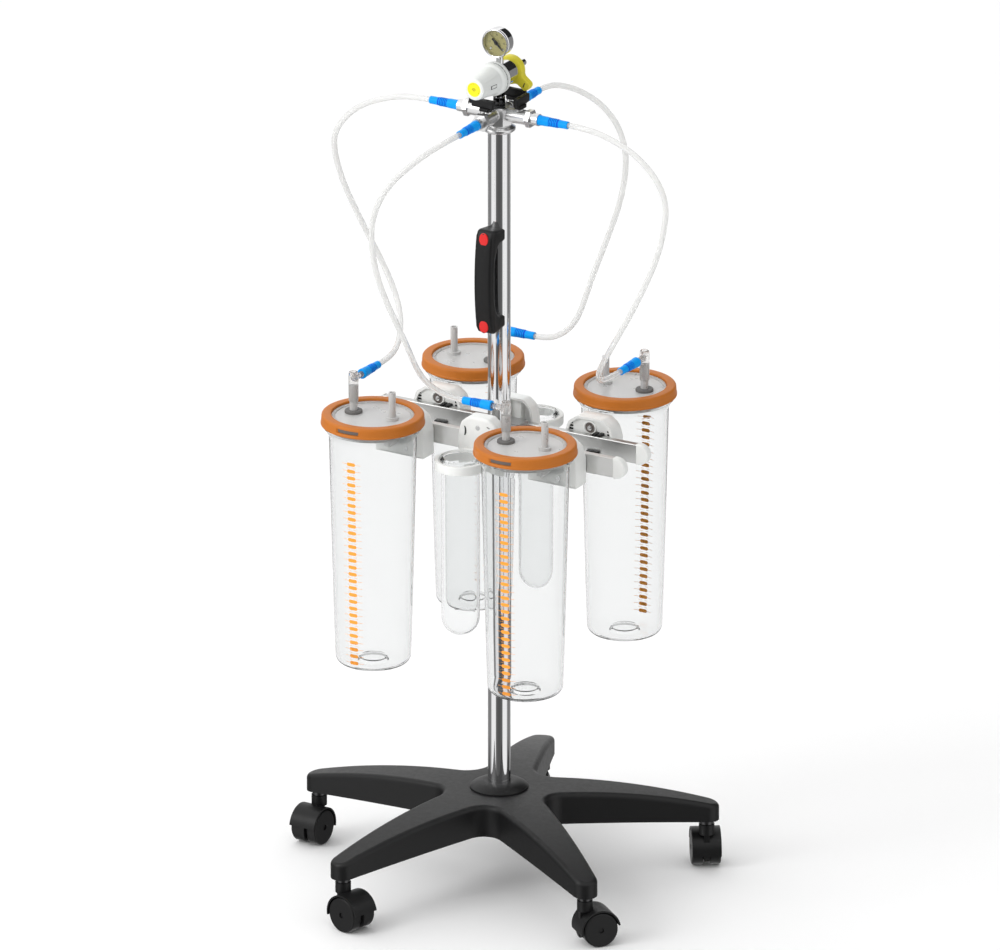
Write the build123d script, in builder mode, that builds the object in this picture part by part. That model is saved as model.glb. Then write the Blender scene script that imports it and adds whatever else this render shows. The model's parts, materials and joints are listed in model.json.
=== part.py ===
from build123d import *
import math
import os

os.makedirs("parts", exist_ok=True)

# A mobile vacuum suction trolley. Millimetres, +Z up, origin on the floor under the pole's axis.
# The two rails run along X. The gauge, the handle and two of the jars are on the -Y side.

# Base and castors
wheel_radius = 25.0
pin_radius = 2.8
pin_low_z = wheel_radius + 11
neck_z = 2 * wheel_radius + 1
castor_top_z = neck_z + 15
leg_end_under_z = castor_top_z + 6
leg_end_top_z = leg_end_under_z + 23
base_hub_under_z = leg_end_under_z + 16
base_top_z = leg_end_under_z + 61
leg_sag_top_z = base_top_z - 9
leg_sag_under_z = base_hub_under_z - 6
leg_angles = [180, -108, -36, 36, 108]
trail_angles = [-93, -15, 50, 125, 210]
stem_reach = 292.0
leg_root_half = 43.0
leg_end_radius = 17.5
leg_crotch_fillet = 28.0
leg_edge_round = 7.0
stem_radius = 5.5
stem_socket_depth = 16.0
wheel_width = 16.0
wheel_inner_half = 4.0
castor_trail = 17.0
axle_radius = 4.0
swivel_gap = 0.05
wheel_gap = 0.05
side_gap = 0.5
hood_gap = 1.5
hood_wall = 2.5

# Column
pole_radius = 16.0
pole_wall = 2.0
pole_top_z = 1103.0
plug_length = 40.0
collar_radius = pole_radius + 25
collar_height = 10.0
bolt_radius = 6.0
bolt_head_af = 19.0
washer_radius = pole_radius + 5

# Rails
rail_thick = 10.0
clamp_depth = 11.4
rail_offset = pole_radius + clamp_depth + rail_thick / 2
rail_height = 28.0
rail_mid_z = 654.5
rail_half = 207.0
cap_thick = 12.0
cap_length = 17.0
clamp_half = 30.0
clamp_height = 40.0
clamp_split = 2.0
rail_bolt_x = 22.5
rail_bolt_radius = 3.0

# Suction jars
jar_x = 122.0
jar_y = 139.0
jar_top_radius = 61.5
jar_bottom_radius = 52.5
jar_wall = 2.8
jar_bottom_z = 343.0
jar_rim_z = 694.5
jar_flange_radius = jar_top_radius + 7.5
jar_flange_thick = 4.0
ring_radius = jar_flange_radius + 3
ring_height = 15.0
ring_opening = jar_top_radius - 4
ring_wall = 5.0
lid_top_z = 706.0
lid_plate = 3.0
port_spacing = 31.0
vacuum_tube_radius = 5.5
vacuum_tube_top_z = 745.0
patient_tube_radius = 5.0
patient_tube_top_z = 745.0
port_bore_radius = 3.2
spout_length = 38.0
elbow_radius = 7.0
elbow_low_z = 721.0
elbow_top_z = 765.0
barb_z = 754.0
barb_radius = 4.3
barb_bore_radius = 2.6
gasket_radius = 12.5
gasket_height = 4.0
filter_radius = 11.0
tongue_half = 20.0
tongue_thick = 3.0
tongue_y = jar_y - jar_flange_radius + tongue_thick / 2 + 0.5
tongue_drop = 34.0

# Brackets
bracket_half = 40.0
bracket_low_z = 620.0
bracket_top_z = 690.0
bracket_wall = 3.0
bracket_back = rail_offset + rail_thick / 2 + 0.6
bracket_front = jar_y - jar_top_radius - 1.5
pocket_gap = 0.5
jaw_low_z = 631.0

# Catheter jars
catheter_y = 107.0
catheter_radius = 26.8
catheter_wall = 2.0
catheter_low_z = 395.0
catheter_top_z = 657.0
catheter_rim_radius = catheter_radius + 2.7
holder_radius = catheter_radius + 9.7
holder_gap = 0.4
holder_low_z = 640.0
holder_top_z = 653.0
holder_half = 32.0
holder_front = 60.0

# Handle
handle_length = 152.0
handle_top_z = pole_top_z - 135
handle_low_z = handle_top_z - handle_length
handle_half = 14.0
handle_reach = pole_radius + 26
handle_bulge = 6.0
grip_thick = 13.0
foot_height = 24.0
cap_raise = 2.0

# Manifold and valves
manifold_z = pole_top_z + 26
manifold_top_z = manifold_z + 21
core_radius = 16.5
valve_start = 24.0
valve_body_end = 46.0
valve_end = 60.0
valve_radius = 10.5
nut_af = 23.0
stem_at = 32.0
lever_low_z = manifold_z + 11.5
lever_base_z = lever_low_z + 4
lever_top_z = lever_base_z + 12
lever_length = 36.0
lever_thick = 8.0
connector_base_radius = 7.25
connector_tip_radius = 5.5
connector_length = 46.0
valve_connector_start = 64.0
elbow_connector_start = 22.0
barb_into_connector = 10.0
hose_radius = 4.0

# Regulator and gauge
regulator_z = manifold_top_z + 33
riser_radius = 7.0
body_radius = 17.0
body_front = -8.0
body_back = 26.0
spindle_radius = 5.0
neck_radius = 12.0
gauge_stem_y = 2.0
selector_front = 26.4
selector_back = 38.0
selector_radius = 20.5
thumb_reach = 38.0
thumb_width = 14.0
thumb_angle = -37.0
inlet_radius = 5.0
inlet_end = 67.0
knob_front = -70.0
knob_back = -8.4
knob_front_radius = 15.5
knob_back_radius = 23.5
gauge_z = regulator_z + 50
gauge_radius = 20.5
gauge_front = -14.0
gauge_depth = 21.0
needle_start_deg = -45.0

run_gap = 0.05


def save(node, name):
    node.part.label = name
    export_step(node.part, "parts/" + name + ".step")


def polar(radius, angle):
    return (radius * math.cos(math.radians(angle)), radius * math.sin(math.radians(angle)))


def side_plane(origin, direction):
    # A plane whose normal is the given horizontal direction, with its own X level and its Y up.
    return Plane(origin=origin, x_dir=(-direction[1], direction[0], 0), z_dir=(direction[0], direction[1], 0))


# ---------------------------------------------------------------- base and castors


def make_base():
    root_angle = math.acos(leg_end_radius / math.hypot(leg_root_half, stem_reach))
    taper = root_angle - math.atan2(stem_reach, leg_root_half)
    tangent_x = stem_reach + leg_end_radius * math.sin(taper)
    tangent_y = leg_end_radius * math.cos(taper)
    tip = stem_reach + leg_end_radius
    with BuildPart() as base:
        with BuildSketch(Plane.XY.offset(leg_end_under_z - 10)) as star:
            for angle in leg_angles:
                with Locations(Location((0, 0, 0), (0, 0, angle))):
                    with BuildLine(mode=Mode.PRIVATE) as leg:
                        Polyline((tangent_x, -tangent_y), (0, -leg_root_half), (0, leg_root_half),
                                 (tangent_x, tangent_y))
                        ThreePointArc((tangent_x, tangent_y), (tip, 0), (tangent_x, -tangent_y))
                    add(make_face(leg.edges(), mode=Mode.PRIVATE))
            corners = star.vertices().sort_by(lambda v: math.hypot(v.X, v.Y))[0:len(leg_angles)]
            fillet(corners, leg_crotch_fillet)
        extrude(amount=base_top_z)
        with BuildSketch(Plane.XZ) as outline:
            with BuildLine():
                reach = tip + 20
                Polyline((0, base_top_z), (collar_radius + 4, base_top_z))
                ThreePointArc((collar_radius + 4, base_top_z), (stem_reach * 0.6, leg_sag_top_z), (reach, leg_end_top_z - 5))
                Line((reach, leg_end_top_z - 5), (reach, leg_end_under_z - 1))
                ThreePointArc((reach, leg_end_under_z - 1), (stem_reach * 0.6, leg_sag_under_z), (60, base_hub_under_z))
                Polyline((60, base_hub_under_z), (0, base_hub_under_z), (0, base_top_z))
            make_face()
        revolve(axis=Axis.Z, mode=Mode.INTERSECT)
        top_faces = base.faces().filter_by(lambda f: f.normal_at().Z > 0.5)
        rims = top_faces.edges().filter_by(lambda e: e.bounding_box().max.Z < base_top_z - 0.5)
        fillet(rims, leg_edge_round)
        with BuildSketch(Plane.XY.offset(base_hub_under_z)):
            Circle(pole_radius)
        extrude(amount=base_top_z, mode=Mode.SUBTRACT)
        with BuildSketch(Plane.XY.offset(leg_end_under_z - 5)):
            with PolarLocations(stem_reach, len(leg_angles), start_angle=leg_angles[0]):
                Circle(stem_radius)
        extrude(amount=5 + stem_socket_depth, mode=Mode.SUBTRACT)
    save(base, "base_star")


def make_collar():
    with BuildPart() as collar:
        with BuildSketch(Plane.XZ) as outline:
            with BuildLine():
                Polyline((pole_radius, base_top_z), (collar_radius, base_top_z), (collar_radius, base_top_z + 2))
                ThreePointArc((collar_radius, base_top_z + 2), (33, base_top_z + 7),
                              (pole_radius + 5, base_top_z + collar_height))
                Polyline((pole_radius + 5, base_top_z + collar_height), (pole_radius, base_top_z + collar_height),
                         (pole_radius, base_top_z))
            make_face()
        revolve(axis=Axis.Z)
    save(collar, "hub_collar")


def make_hub_bolt():
    with BuildPart() as bolt:
        with BuildSketch(Plane.XY.offset(base_hub_under_z - 3)):
            Circle(washer_radius)
        extrude(amount=3)
        with BuildSketch(Plane.XY.offset(base_hub_under_z - 14)):
            RegularPolygon(bolt_head_af / 2, 6, major_radius=False)
        extrude(amount=11)
        chamfer(bolt.faces().sort_by(Axis.Z)[0].edges(), 1)
        with BuildSketch(Plane.XY.offset(base_hub_under_z)):
            Circle(bolt_radius)
        extrude(amount=plug_length - 8)
    save(bolt, "hub_bolt")


def make_pole():
    with BuildPart() as pole:
        with BuildSketch(Plane.XY.offset(base_hub_under_z)):
            Circle(pole_radius)
        extrude(amount=pole_top_z - base_hub_under_z)
        with BuildSketch(Plane.XY.offset(base_hub_under_z + plug_length)):
            Circle(pole_radius - pole_wall)
        extrude(amount=pole_top_z, mode=Mode.SUBTRACT)
        with BuildSketch(Plane.XY.offset(base_hub_under_z)):
            Circle(bolt_radius)
        extrude(amount=plug_length - 8, mode=Mode.SUBTRACT)
    save(pole, "pole")


def make_stems():
    with BuildPart() as stems:
        with BuildSketch(Plane.XY.offset(pin_low_z)):
            with PolarLocations(stem_reach, len(leg_angles), start_angle=leg_angles[0]):
                Circle(pin_radius)
        extrude(amount=neck_z - pin_low_z)
        with BuildSketch(Plane.XY.offset(neck_z)):
            with PolarLocations(stem_reach, len(leg_angles), start_angle=leg_angles[0]):
                Circle(stem_radius)
        extrude(amount=leg_end_under_z - 5 + stem_socket_depth - neck_z)
        with BuildSketch(Plane.XY.offset(castor_top_z + 0.3)):
            with PolarLocations(stem_reach, len(leg_angles), start_angle=leg_angles[0]):
                Circle(stem_radius + 4)
        extrude(amount=leg_end_under_z - castor_top_z - 0.3)
    save(stems, "castor_stems")


def make_castor(number, leg_angle, trail_angle):
    stem = polar(stem_reach, leg_angle)
    trail = polar(castor_trail, trail_angle)
    centre = (stem[0] + trail[0], stem[1] + trail[1], wheel_radius)
    forward = (math.cos(math.radians(trail_angle)), math.sin(math.radians(trail_angle)), 0)
    across = (-forward[1], forward[0], 0)
    # The castor's own upright plane: X points away from the stem along the trail, Y is up.
    middle = Plane(origin=centre, x_dir=forward, z_dir=(across[0] * -1, across[1] * -1, 0))
    half = wheel_inner_half + side_gap + wheel_width
    inner = wheel_radius + hood_gap
    outer = inner + hood_wall
    far = 2 * outer
    with BuildPart() as hood:
        with BuildSketch(middle):
            Circle(outer)
            with Locations((-castor_trail / 2, neck_z - wheel_radius - 6)):
                Rectangle(castor_trail + 16, 12)
            with Locations((0, -wheel_radius)):
                Rectangle(4 * wheel_radius, wheel_radius - 1, mode=Mode.SUBTRACT)
        extrude(amount=wheel_inner_half, both=True)
        with BuildSketch(middle):
            Circle(outer)
            Circle(inner, mode=Mode.SUBTRACT)
            Polygon((0, 0), (far, far / 6), (far, -far), (-far, -far), (-far, -far / 5), align=None, mode=Mode.SUBTRACT)
        extrude(amount=half, both=True)
        with BuildSketch(Plane(origin=(stem[0], stem[1], neck_z))):
            Circle(11)
        extrude(amount=castor_top_z - neck_z)
        with BuildSketch(Plane(origin=(stem[0], stem[1], pin_low_z - 0.3))):
            Circle(pin_radius + swivel_gap)
        extrude(amount=castor_top_z, mode=Mode.SUBTRACT)
        with BuildSketch(Plane(origin=(stem[0], stem[1], neck_z - 0.3))):
            Circle(stem_radius + swivel_gap)
        extrude(amount=castor_top_z, mode=Mode.SUBTRACT)
        with BuildSketch(middle):
            Circle(axle_radius)
        extrude(amount=half - 2, both=True)
    save(hood, "castor_hood_" + str(number))

    with BuildPart() as wheels:
        for side in (1, -1):
            face = middle.offset(side * (wheel_inner_half + side_gap))
            with BuildSketch(face):
                Circle(wheel_radius)
                Circle(axle_radius + wheel_gap, mode=Mode.SUBTRACT)
            extrude(amount=side * wheel_width)
        rims = wheels.edges().filter_by(GeomType.CIRCLE).filter_by(lambda e: e.radius > wheel_radius - 1)
        fillet(rims, 2.5)
    save(wheels, "castor_wheels_" + str(number))


# ---------------------------------------------------------------- rails


def make_rails():
    for name, side in (("rail_front", -1), ("rail_back", 1)):
        with BuildPart() as rail:
            with BuildSketch(Plane(origin=(0, side * rail_offset, rail_mid_z))):
                Rectangle(2 * rail_half, rail_thick)
            extrude(amount=rail_height / 2, both=True)
            fillet(rail.edges().filter_by(Axis.X), 1.5)
            with BuildSketch(Plane.XZ.offset(-side * rail_offset)):
                with Locations((-rail_bolt_x, rail_mid_z), (rail_bolt_x, rail_mid_z)):
                    Circle(rail_bolt_radius)
            extrude(amount=rail_thick, both=True, mode=Mode.SUBTRACT)
        save(rail, name)
    with BuildPart() as caps:
        for side in (-1, 1):
            for end in (-1, 1):
                with BuildSketch(Plane.XZ.offset(-side * rail_offset)):
                    with BuildLine():
                        low = rail_mid_z - rail_height / 2 - 1
                        high = rail_mid_z + rail_height / 2 + 1
                        start = end * rail_half
                        straight = end * (rail_half + 4)
                        Polyline((straight, low), (start, low), (start, high), (straight, high))
                        ThreePointArc((straight, high), (end * (rail_half + cap_length), rail_mid_z),
                                      (straight, low))
                    make_face()
                extrude(amount=cap_thick / 2, both=True)
        fillet(caps.edges().filter_by(lambda e: e.length > 30 and e.geom_type == GeomType.CIRCLE), 1.5)
    save(caps, "rail_end_caps")
    with BuildPart() as clamps:
        depth = rail_offset - rail_thick / 2 - clamp_split / 2
        for side in (-1, 1):
            middle = side * (clamp_split / 2 + depth / 2)
            with BuildSketch(Plane.XY.offset(rail_mid_z)):
                with Locations((0, middle)):
                    Rectangle(2 * clamp_half, depth)
                Circle(pole_radius, mode=Mode.SUBTRACT)
                with Locations((-clamp_half, side * clamp_split / 2), (clamp_half, side * clamp_split / 2)):
                    Rectangle(4, 2, mode=Mode.SUBTRACT)
            extrude(amount=clamp_height / 2, both=True)
        with BuildSketch(Plane.XZ):
            with Locations((-rail_bolt_x, rail_mid_z), (rail_bolt_x, rail_mid_z)):
                Circle(rail_bolt_radius)
        extrude(amount=rail_offset, both=True, mode=Mode.SUBTRACT)
    save(clamps, "rail_clamps")
    with BuildPart() as bolts:
        face = rail_offset + rail_thick / 2
        with BuildSketch(Plane.XZ):
            with Locations((-rail_bolt_x, rail_mid_z), (rail_bolt_x, rail_mid_z)):
                Circle(rail_bolt_radius)
        extrude(amount=face, both=True)
        for side in (-1, 1):
            with BuildSketch(Plane.XZ.offset(side * face)):
                with Locations((-rail_bolt_x, rail_mid_z), (rail_bolt_x, rail_mid_z)):
                    RegularPolygon(5, 6, major_radius=False)
            extrude(amount=side * 4)
    save(bolts, "rail_bolts")


# ---------------------------------------------------------------- suction jars

# Jars 1 and 2 hang on the front rail, jars 3 and 4 on the back one.
jar_places = [(-jar_x, -jar_y), (jar_x, -jar_y), (-jar_x, jar_y), (jar_x, jar_y)]
# The way each jar's vacuum elbow points, as a unit direction.
elbow_ways = [(0, 1), (-1, 0), (1, 0), (0, -1)]


def vacuum_port(place):
    # The vacuum port is on the left of a jar seen from its own side of the trolley.
    side = 1 if place[1] > 0 else -1
    return (place[0] + side * port_spacing, place[1])


def patient_port(place):
    side = 1 if place[1] > 0 else -1
    return (place[0] - side * port_spacing, place[1])


def make_jar(number, place):
    side = 1 if place[1] > 0 else -1
    slope_z = 425.0
    slope_radius = jar_bottom_radius + 2.5
    upright = Plane(origin=(place[0], place[1], 0), x_dir=(1, 0, 0), z_dir=(0, -1, 0))
    with BuildPart() as jar:
        with BuildSketch(upright):
            with BuildLine():
                corner = 12.0
                Line((0, jar_bottom_z + 5), (18, jar_bottom_z + 5))
                Line((18, jar_bottom_z + 5), (20, jar_bottom_z))
                Line((20, jar_bottom_z), (jar_bottom_radius - corner, jar_bottom_z))
                ThreePointArc((jar_bottom_radius - corner, jar_bottom_z),
                              (jar_bottom_radius - 0.2929 * corner, jar_bottom_z + 0.2929 * corner),
                              (jar_bottom_radius, jar_bottom_z + corner))
                Polyline((jar_bottom_radius, jar_bottom_z + corner), (slope_radius, slope_z),
                         (jar_top_radius, jar_rim_z - jar_flange_thick),
                         (jar_flange_radius, jar_rim_z - jar_flange_thick), (jar_flange_radius, jar_rim_z),
                         (jar_top_radius - jar_wall, jar_rim_z), (slope_radius - jar_wall, slope_z),
                         (jar_bottom_radius - jar_wall, jar_bottom_z + corner))
                inner = corner - jar_wall
                ThreePointArc((jar_bottom_radius - jar_wall, jar_bottom_z + corner),
                              (jar_bottom_radius - jar_wall - 0.2929 * inner,
                               jar_bottom_z + jar_wall + 0.2929 * inner),
                              (jar_bottom_radius - corner, jar_bottom_z + jar_wall))
                Polyline((jar_bottom_radius - corner, jar_bottom_z + jar_wall),
                         (21.5, jar_bottom_z + jar_wall), (19.5, jar_bottom_z + 5 + jar_wall),
                         (0, jar_bottom_z + 5 + jar_wall), (0, jar_bottom_z + 5))
            make_face()
        revolve(axis=Axis(origin=(place[0], place[1], 0), direction=(0, 0, 1)))
        # The hanging tongue drops from the flange into the bracket's pocket.
        with BuildSketch(Plane.XY.offset(bracket_top_z - tongue_drop)):
            with Locations((place[0], side * tongue_y)):
                Rectangle(2 * tongue_half, tongue_thick)
        extrude(amount=jar_rim_z - jar_flange_thick - bracket_top_z + tongue_drop + 0.3)
    save(jar, "jar_" + str(number))


def make_lid(number, place):
    vacuum = vacuum_port(place)
    patient = patient_port(place)
    upright = Plane(origin=(place[0], place[1], 0), x_dir=(1, 0, 0), z_dir=(0, -1, 0))
    skirt = ring_radius - ring_wall - 0.3
    inside = jar_top_radius - jar_wall - 0.3
    with BuildPart() as lid:
        with BuildSketch(upright):
            with BuildLine():
                Polyline((0, lid_top_z - lid_plate - 1), (inside - 3, lid_top_z - lid_plate - 1),
                         (inside - 3, jar_rim_z - 7), (inside, jar_rim_z - 7), (inside, jar_rim_z),
                         (skirt, jar_rim_z), (skirt, lid_top_z), (ring_opening - 2, lid_top_z),
                         (ring_opening - 3.5, lid_top_z - 1.2), (0, lid_top_z - 1.2), close=True)
            make_face()
        revolve(axis=Axis(origin=(place[0], place[1], 0), direction=(0, 0, 1)))
        floor_z = lid_top_z - lid_plate - 1
        with BuildSketch(Plane.XY.offset(floor_z)):
            with Locations(vacuum):
                Circle(vacuum_tube_radius)
        extrude(amount=vacuum_tube_top_z - floor_z)
        with BuildSketch(Plane.XY.offset(floor_z)):
            with Locations(patient):
                Circle(patient_tube_radius)
        extrude(amount=patient_tube_top_z - floor_z)
        with BuildSketch(Plane.XY.offset(floor_z)):
            with Locations(patient):
                Circle(9)
        extrude(amount=lid_top_z + 3 - floor_z)
        with BuildSketch(Plane.XY.offset(floor_z + 0.5)):
            with Locations(patient):
                Circle(patient_tube_radius + 2)
        extrude(amount=-spout_length)
        # The cage that holds the overflow filter under the vacuum port.
        with BuildSketch(Plane.XY.offset(floor_z + 0.5)):
            with Locations(vacuum):
                Circle(filter_radius + 1.5)
                Circle(filter_radius, mode=Mode.SUBTRACT)
        extrude(amount=-5)
        with BuildSketch(Plane.XY.offset(floor_z - spout_length)):
            with Locations(vacuum, patient):
                Circle(port_bore_radius)
        extrude(amount=200, mode=Mode.SUBTRACT)
        # The spout's foot is cut on the slant.
        cut = Plane(origin=(patient[0], patient[1], floor_z - spout_length + 8), x_dir=(1, 0, 0.9), z_dir=(-0.9, 0, 1))
        with BuildSketch(cut):
            Rectangle(60, 40)
        extrude(amount=-40, mode=Mode.SUBTRACT)
    save(lid, "lid_" + str(number))


def make_rings():
    with BuildPart() as rings:
        for place in jar_places:
            side = 1 if place[1] > 0 else -1
            upright = Plane(origin=(place[0], place[1], 0), x_dir=(1, 0, 0), z_dir=(0, -1, 0))
            with BuildSketch(upright):
                with BuildLine():
                    inner = ring_radius - ring_wall
                    top = jar_rim_z + ring_height
                    Polyline((inner, jar_rim_z), (ring_radius + 0.5, jar_rim_z), (ring_radius + 0.5, jar_rim_z + 2.5),
                             (ring_radius, jar_rim_z + 3.5), (ring_radius - 0.7, top - 2), (ring_radius - 2.7, top),
                             (ring_opening + 1, top), (ring_opening, top - 1), (ring_opening, lid_top_z),
                             (inner, lid_top_z), close=True)
                make_face()
            revolve(axis=Axis(origin=(place[0], place[1], 0), direction=(0, 0, 1)))
            with BuildSketch(Plane(origin=(place[0], place[1] + side * ring_radius, jar_rim_z + 7))):
                Rectangle(40, 7)
            extrude(amount=2.5, both=True, mode=Mode.SUBTRACT)
    save(rings, "lid_rings")


def make_gaskets():
    with BuildPart() as gaskets:
        for place in jar_places:
            port = vacuum_port(place)
            with BuildSketch(Plane.XY.offset(lid_top_z - 1.2)):
                with Locations(port):
                    Circle(gasket_radius)
                    Circle(vacuum_tube_radius, mode=Mode.SUBTRACT)
            extrude(amount=gasket_height)
        tops = gaskets.faces().filter_by(Axis.Z).filter_by(lambda f: f.normal_at().Z > 0.5)
        fillet(tops.edges().filter_by(lambda e: e.radius > gasket_radius - 1), 1.5)
    save(gaskets, "port_gaskets")


def make_elbows():
    with BuildPart() as elbows:
        for place, way in zip(jar_places, elbow_ways):
            port = vacuum_port(place)
            with BuildSketch(Plane.XY.offset(elbow_low_z)):
                with Locations(port):
                    Circle(elbow_radius)
            extrude(amount=elbow_top_z - elbow_low_z)
            with BuildSketch(side_plane((port[0], port[1], barb_z), way)):
                Circle(barb_radius)
            extrude(amount=elbow_connector_start + barb_into_connector)
            with BuildSketch(Plane.XY.offset(elbow_low_z)):
                with Locations(port):
                    Circle(vacuum_tube_radius)
            extrude(amount=vacuum_tube_top_z - elbow_low_z, mode=Mode.SUBTRACT)
            with BuildSketch(Plane.XY.offset(elbow_low_z)):
                with Locations(port):
                    Circle(port_bore_radius)
            extrude(amount=barb_z - elbow_low_z, mode=Mode.SUBTRACT)
            with BuildSketch(side_plane((port[0], port[1], barb_z), way)):
                Circle(barb_bore_radius)
            extrude(amount=100, mode=Mode.SUBTRACT)
    save(elbows, "port_elbows")


def make_filters():
    with BuildPart() as filters:
        for place in jar_places:
            port = vacuum_port(place)
            with BuildSketch(Plane.XY.offset(lid_top_z - lid_plate - 4)):
                with Locations(port):
                    Circle(filter_radius)
            extrude(amount=3)
    save(filters, "overflow_filters")


# ---------------------------------------------------------------- brackets and catheter jars


def arched_outline(half, low_z, top_z):
    # The front view of a bracket's shell: upright sides and an arched top.
    arch = 26.0
    with BuildSketch() as outline:
        with BuildLine():
            Polyline((-half, top_z - arch), (-half, low_z), (half, low_z), (half, top_z - arch))
            ThreePointArc((half, top_z - arch), (half * 0.84, top_z - arch * 0.35), (half * 0.5, top_z))
            Line((half * 0.5, top_z), (-half * 0.5, top_z))
            ThreePointArc((-half * 0.5, top_z), (-half * 0.84, top_z - arch * 0.35), (-half, top_z - arch))
        make_face()
    return outline.sketch


def make_jar_brackets():
    outline = arched_outline(bracket_half, bracket_low_z, bracket_top_z)
    with BuildPart() as finished:
        for place in jar_places:
            side = 1 if place[1] > 0 else -1
            with BuildSketch(Plane.XZ.offset(-side * bracket_back)):
                with Locations((place[0], 0)):
                    add(outline)
            extrude(amount=-side * (bracket_front - bracket_back))
        outer = finished.edges().filter_by(lambda e: abs(abs(e.center().Y) - bracket_front) < 0.1)
        fillet(outer, 3)
        for place in jar_places:
            side = 1 if place[1] > 0 else -1
            # The hollow towards the rail.
            hollow_end = tongue_y - 10
            width = 2 * (bracket_half - bracket_wall)
            low = bracket_low_z + bracket_wall
            high = bracket_top_z - 14
            with BuildSketch(Plane(origin=(place[0], side * bracket_back, (low + high) / 2))):
                Rectangle(width, 2 * (hollow_end - bracket_back))
            extrude(amount=(high - low) / 2, both=True, mode=Mode.SUBTRACT)
            # A stiffening rib on each side of the middle.
            for rib in (-26, 26):
                with BuildSketch(Plane(origin=(place[0] + rib, side * (bracket_back + hollow_end) / 2, (low + high) / 2))):
                    Rectangle(2.5, hollow_end - bracket_back)
                extrude(amount=(high - low) / 2 + 1, both=True)
            # The pocket for the jar's tongue.
            with BuildSketch(Plane.XY.offset(bracket_top_z - tongue_drop - 1)):
                with Locations((place[0], side * tongue_y)):
                    Rectangle(2 * (tongue_half + pocket_gap), tongue_thick + 2 * pocket_gap)
            extrude(amount=60, mode=Mode.SUBTRACT)
            # The hook over the rail's top, with a lip down its far side.
            rail_top = rail_mid_z + rail_height / 2
            rail_face = rail_offset - rail_thick / 2
            with BuildSketch(Plane(origin=(place[0], 0, rail_top))):
                with Locations((0, side * (rail_face - 3 + bracket_back + 3) / 2)):
                    Rectangle(56, bracket_back + 3 - rail_face + 3)
            extrude(amount=6)
            with BuildSketch(Plane(origin=(place[0], 0, rail_top - 10))):
                with Locations((0, side * (rail_face - 1.5))):
                    Rectangle(56, 3)
            extrude(amount=10)
            # The counterbore and hole of the clamp screw.
            with BuildSketch(Plane.XZ.offset(-side * bracket_front)):
                with Locations((place[0] + 13, jaw_low_z + 4.5)):
                    Circle(5)
            extrude(amount=side * 4, mode=Mode.SUBTRACT)
            with BuildSketch(Plane.XZ.offset(-side * bracket_front)):
                with Locations((place[0] + 13, jaw_low_z + 4.5)):
                    Circle(2.5)
            extrude(amount=side * (bracket_front - bracket_back + 4), mode=Mode.SUBTRACT)
    save(finished, "jar_brackets")
    rail_low = rail_mid_z - rail_height / 2
    rail_face = rail_offset - rail_thick / 2
    with BuildPart() as jaws:
        for place in jar_places:
            side = 1 if place[1] > 0 else -1
            with BuildSketch(Plane(origin=(place[0] + 13, 0, jaw_low_z))):
                with Locations((0, side * (rail_face - 4 + bracket_back + 16) / 2)):
                    Rectangle(18, bracket_back + 16 - rail_face + 4)
            extrude(amount=rail_low - jaw_low_z)
            with BuildSketch(Plane(origin=(place[0] + 13, 0, rail_low))):
                with Locations((0, side * (rail_face - 2))):
                    Rectangle(18, 4)
            extrude(amount=8)
            with BuildSketch(Plane.XZ):
                with Locations((place[0] + 13, jaw_low_z + 4.5)):
                    Circle(2.5)
            extrude(amount=-side * 60, mode=Mode.SUBTRACT)
    save(jaws, "bracket_jaws")
    with BuildPart() as screws:
        for place in jar_places:
            side = 1 if place[1] > 0 else -1
            head_face = Plane.XZ.offset(-side * (bracket_front - 1))
            with BuildSketch(head_face):
                with Locations((place[0] + 13, jaw_low_z + 4.5)):
                    Circle(4.2)
            extrude(amount=side * 3)
            with BuildSketch(head_face):
                with Locations((place[0] + 13, jaw_low_z + 4.5)):
                    Circle(2.5)
            extrude(amount=side * (bracket_front - rail_face + 2))
            with BuildSketch(head_face):
                with Locations((place[0] + 13, jaw_low_z + 4.5)):
                    Rectangle(5, 1)
                    Rectangle(1, 5)
            extrude(amount=side * 1.2, mode=Mode.SUBTRACT)
    save(screws, "bracket_screws")


def make_catheter_holder(name, side):
    outline = arched_outline(holder_half, bracket_low_z + 5, bracket_top_z + 8)
    with BuildPart() as holder:
        with BuildSketch(Plane.XZ.offset(-side * bracket_back)):
            add(outline)
        extrude(amount=-side * (holder_front - bracket_back))
        outer = holder.edges().filter_by(lambda e: abs(abs(e.center().Y) - holder_front) < 0.1)
        fillet(outer, 4)
        low = bracket_low_z + 5 + bracket_wall
        high = bracket_top_z - 6
        with BuildSketch(Plane(origin=(0, side * bracket_back, (low + high) / 2))):
            Rectangle(2 * (holder_half - bracket_wall), 2 * (holder_front - bracket_wall - bracket_back))
        extrude(amount=(high - low) / 2, both=True, mode=Mode.SUBTRACT)
        # The arm and the ring.
        with BuildSketch(Plane.XY.offset(holder_low_z)):
            with Locations((0, side * (holder_front + 8))):
                Rectangle(40, 20)
            with Locations((0, side * catheter_y)):
                Circle(holder_radius)
        extrude(amount=holder_top_z - holder_low_z)
        with BuildSketch(Plane.XY.offset(holder_low_z - 1)):
            with Locations((0, side * catheter_y)):
                Circle(catheter_radius + holder_gap)
        extrude(amount=40, mode=Mode.SUBTRACT)
        # The curved slot and the screw hole in the front face.
        with BuildSketch(Plane.XZ.offset(-side * holder_front)):
            with Locations((-side * -16, 683)):
                SlotOverall(15, 4, rotation=60)
        extrude(amount=side * 8, mode=Mode.SUBTRACT)
    save(holder, name)


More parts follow.
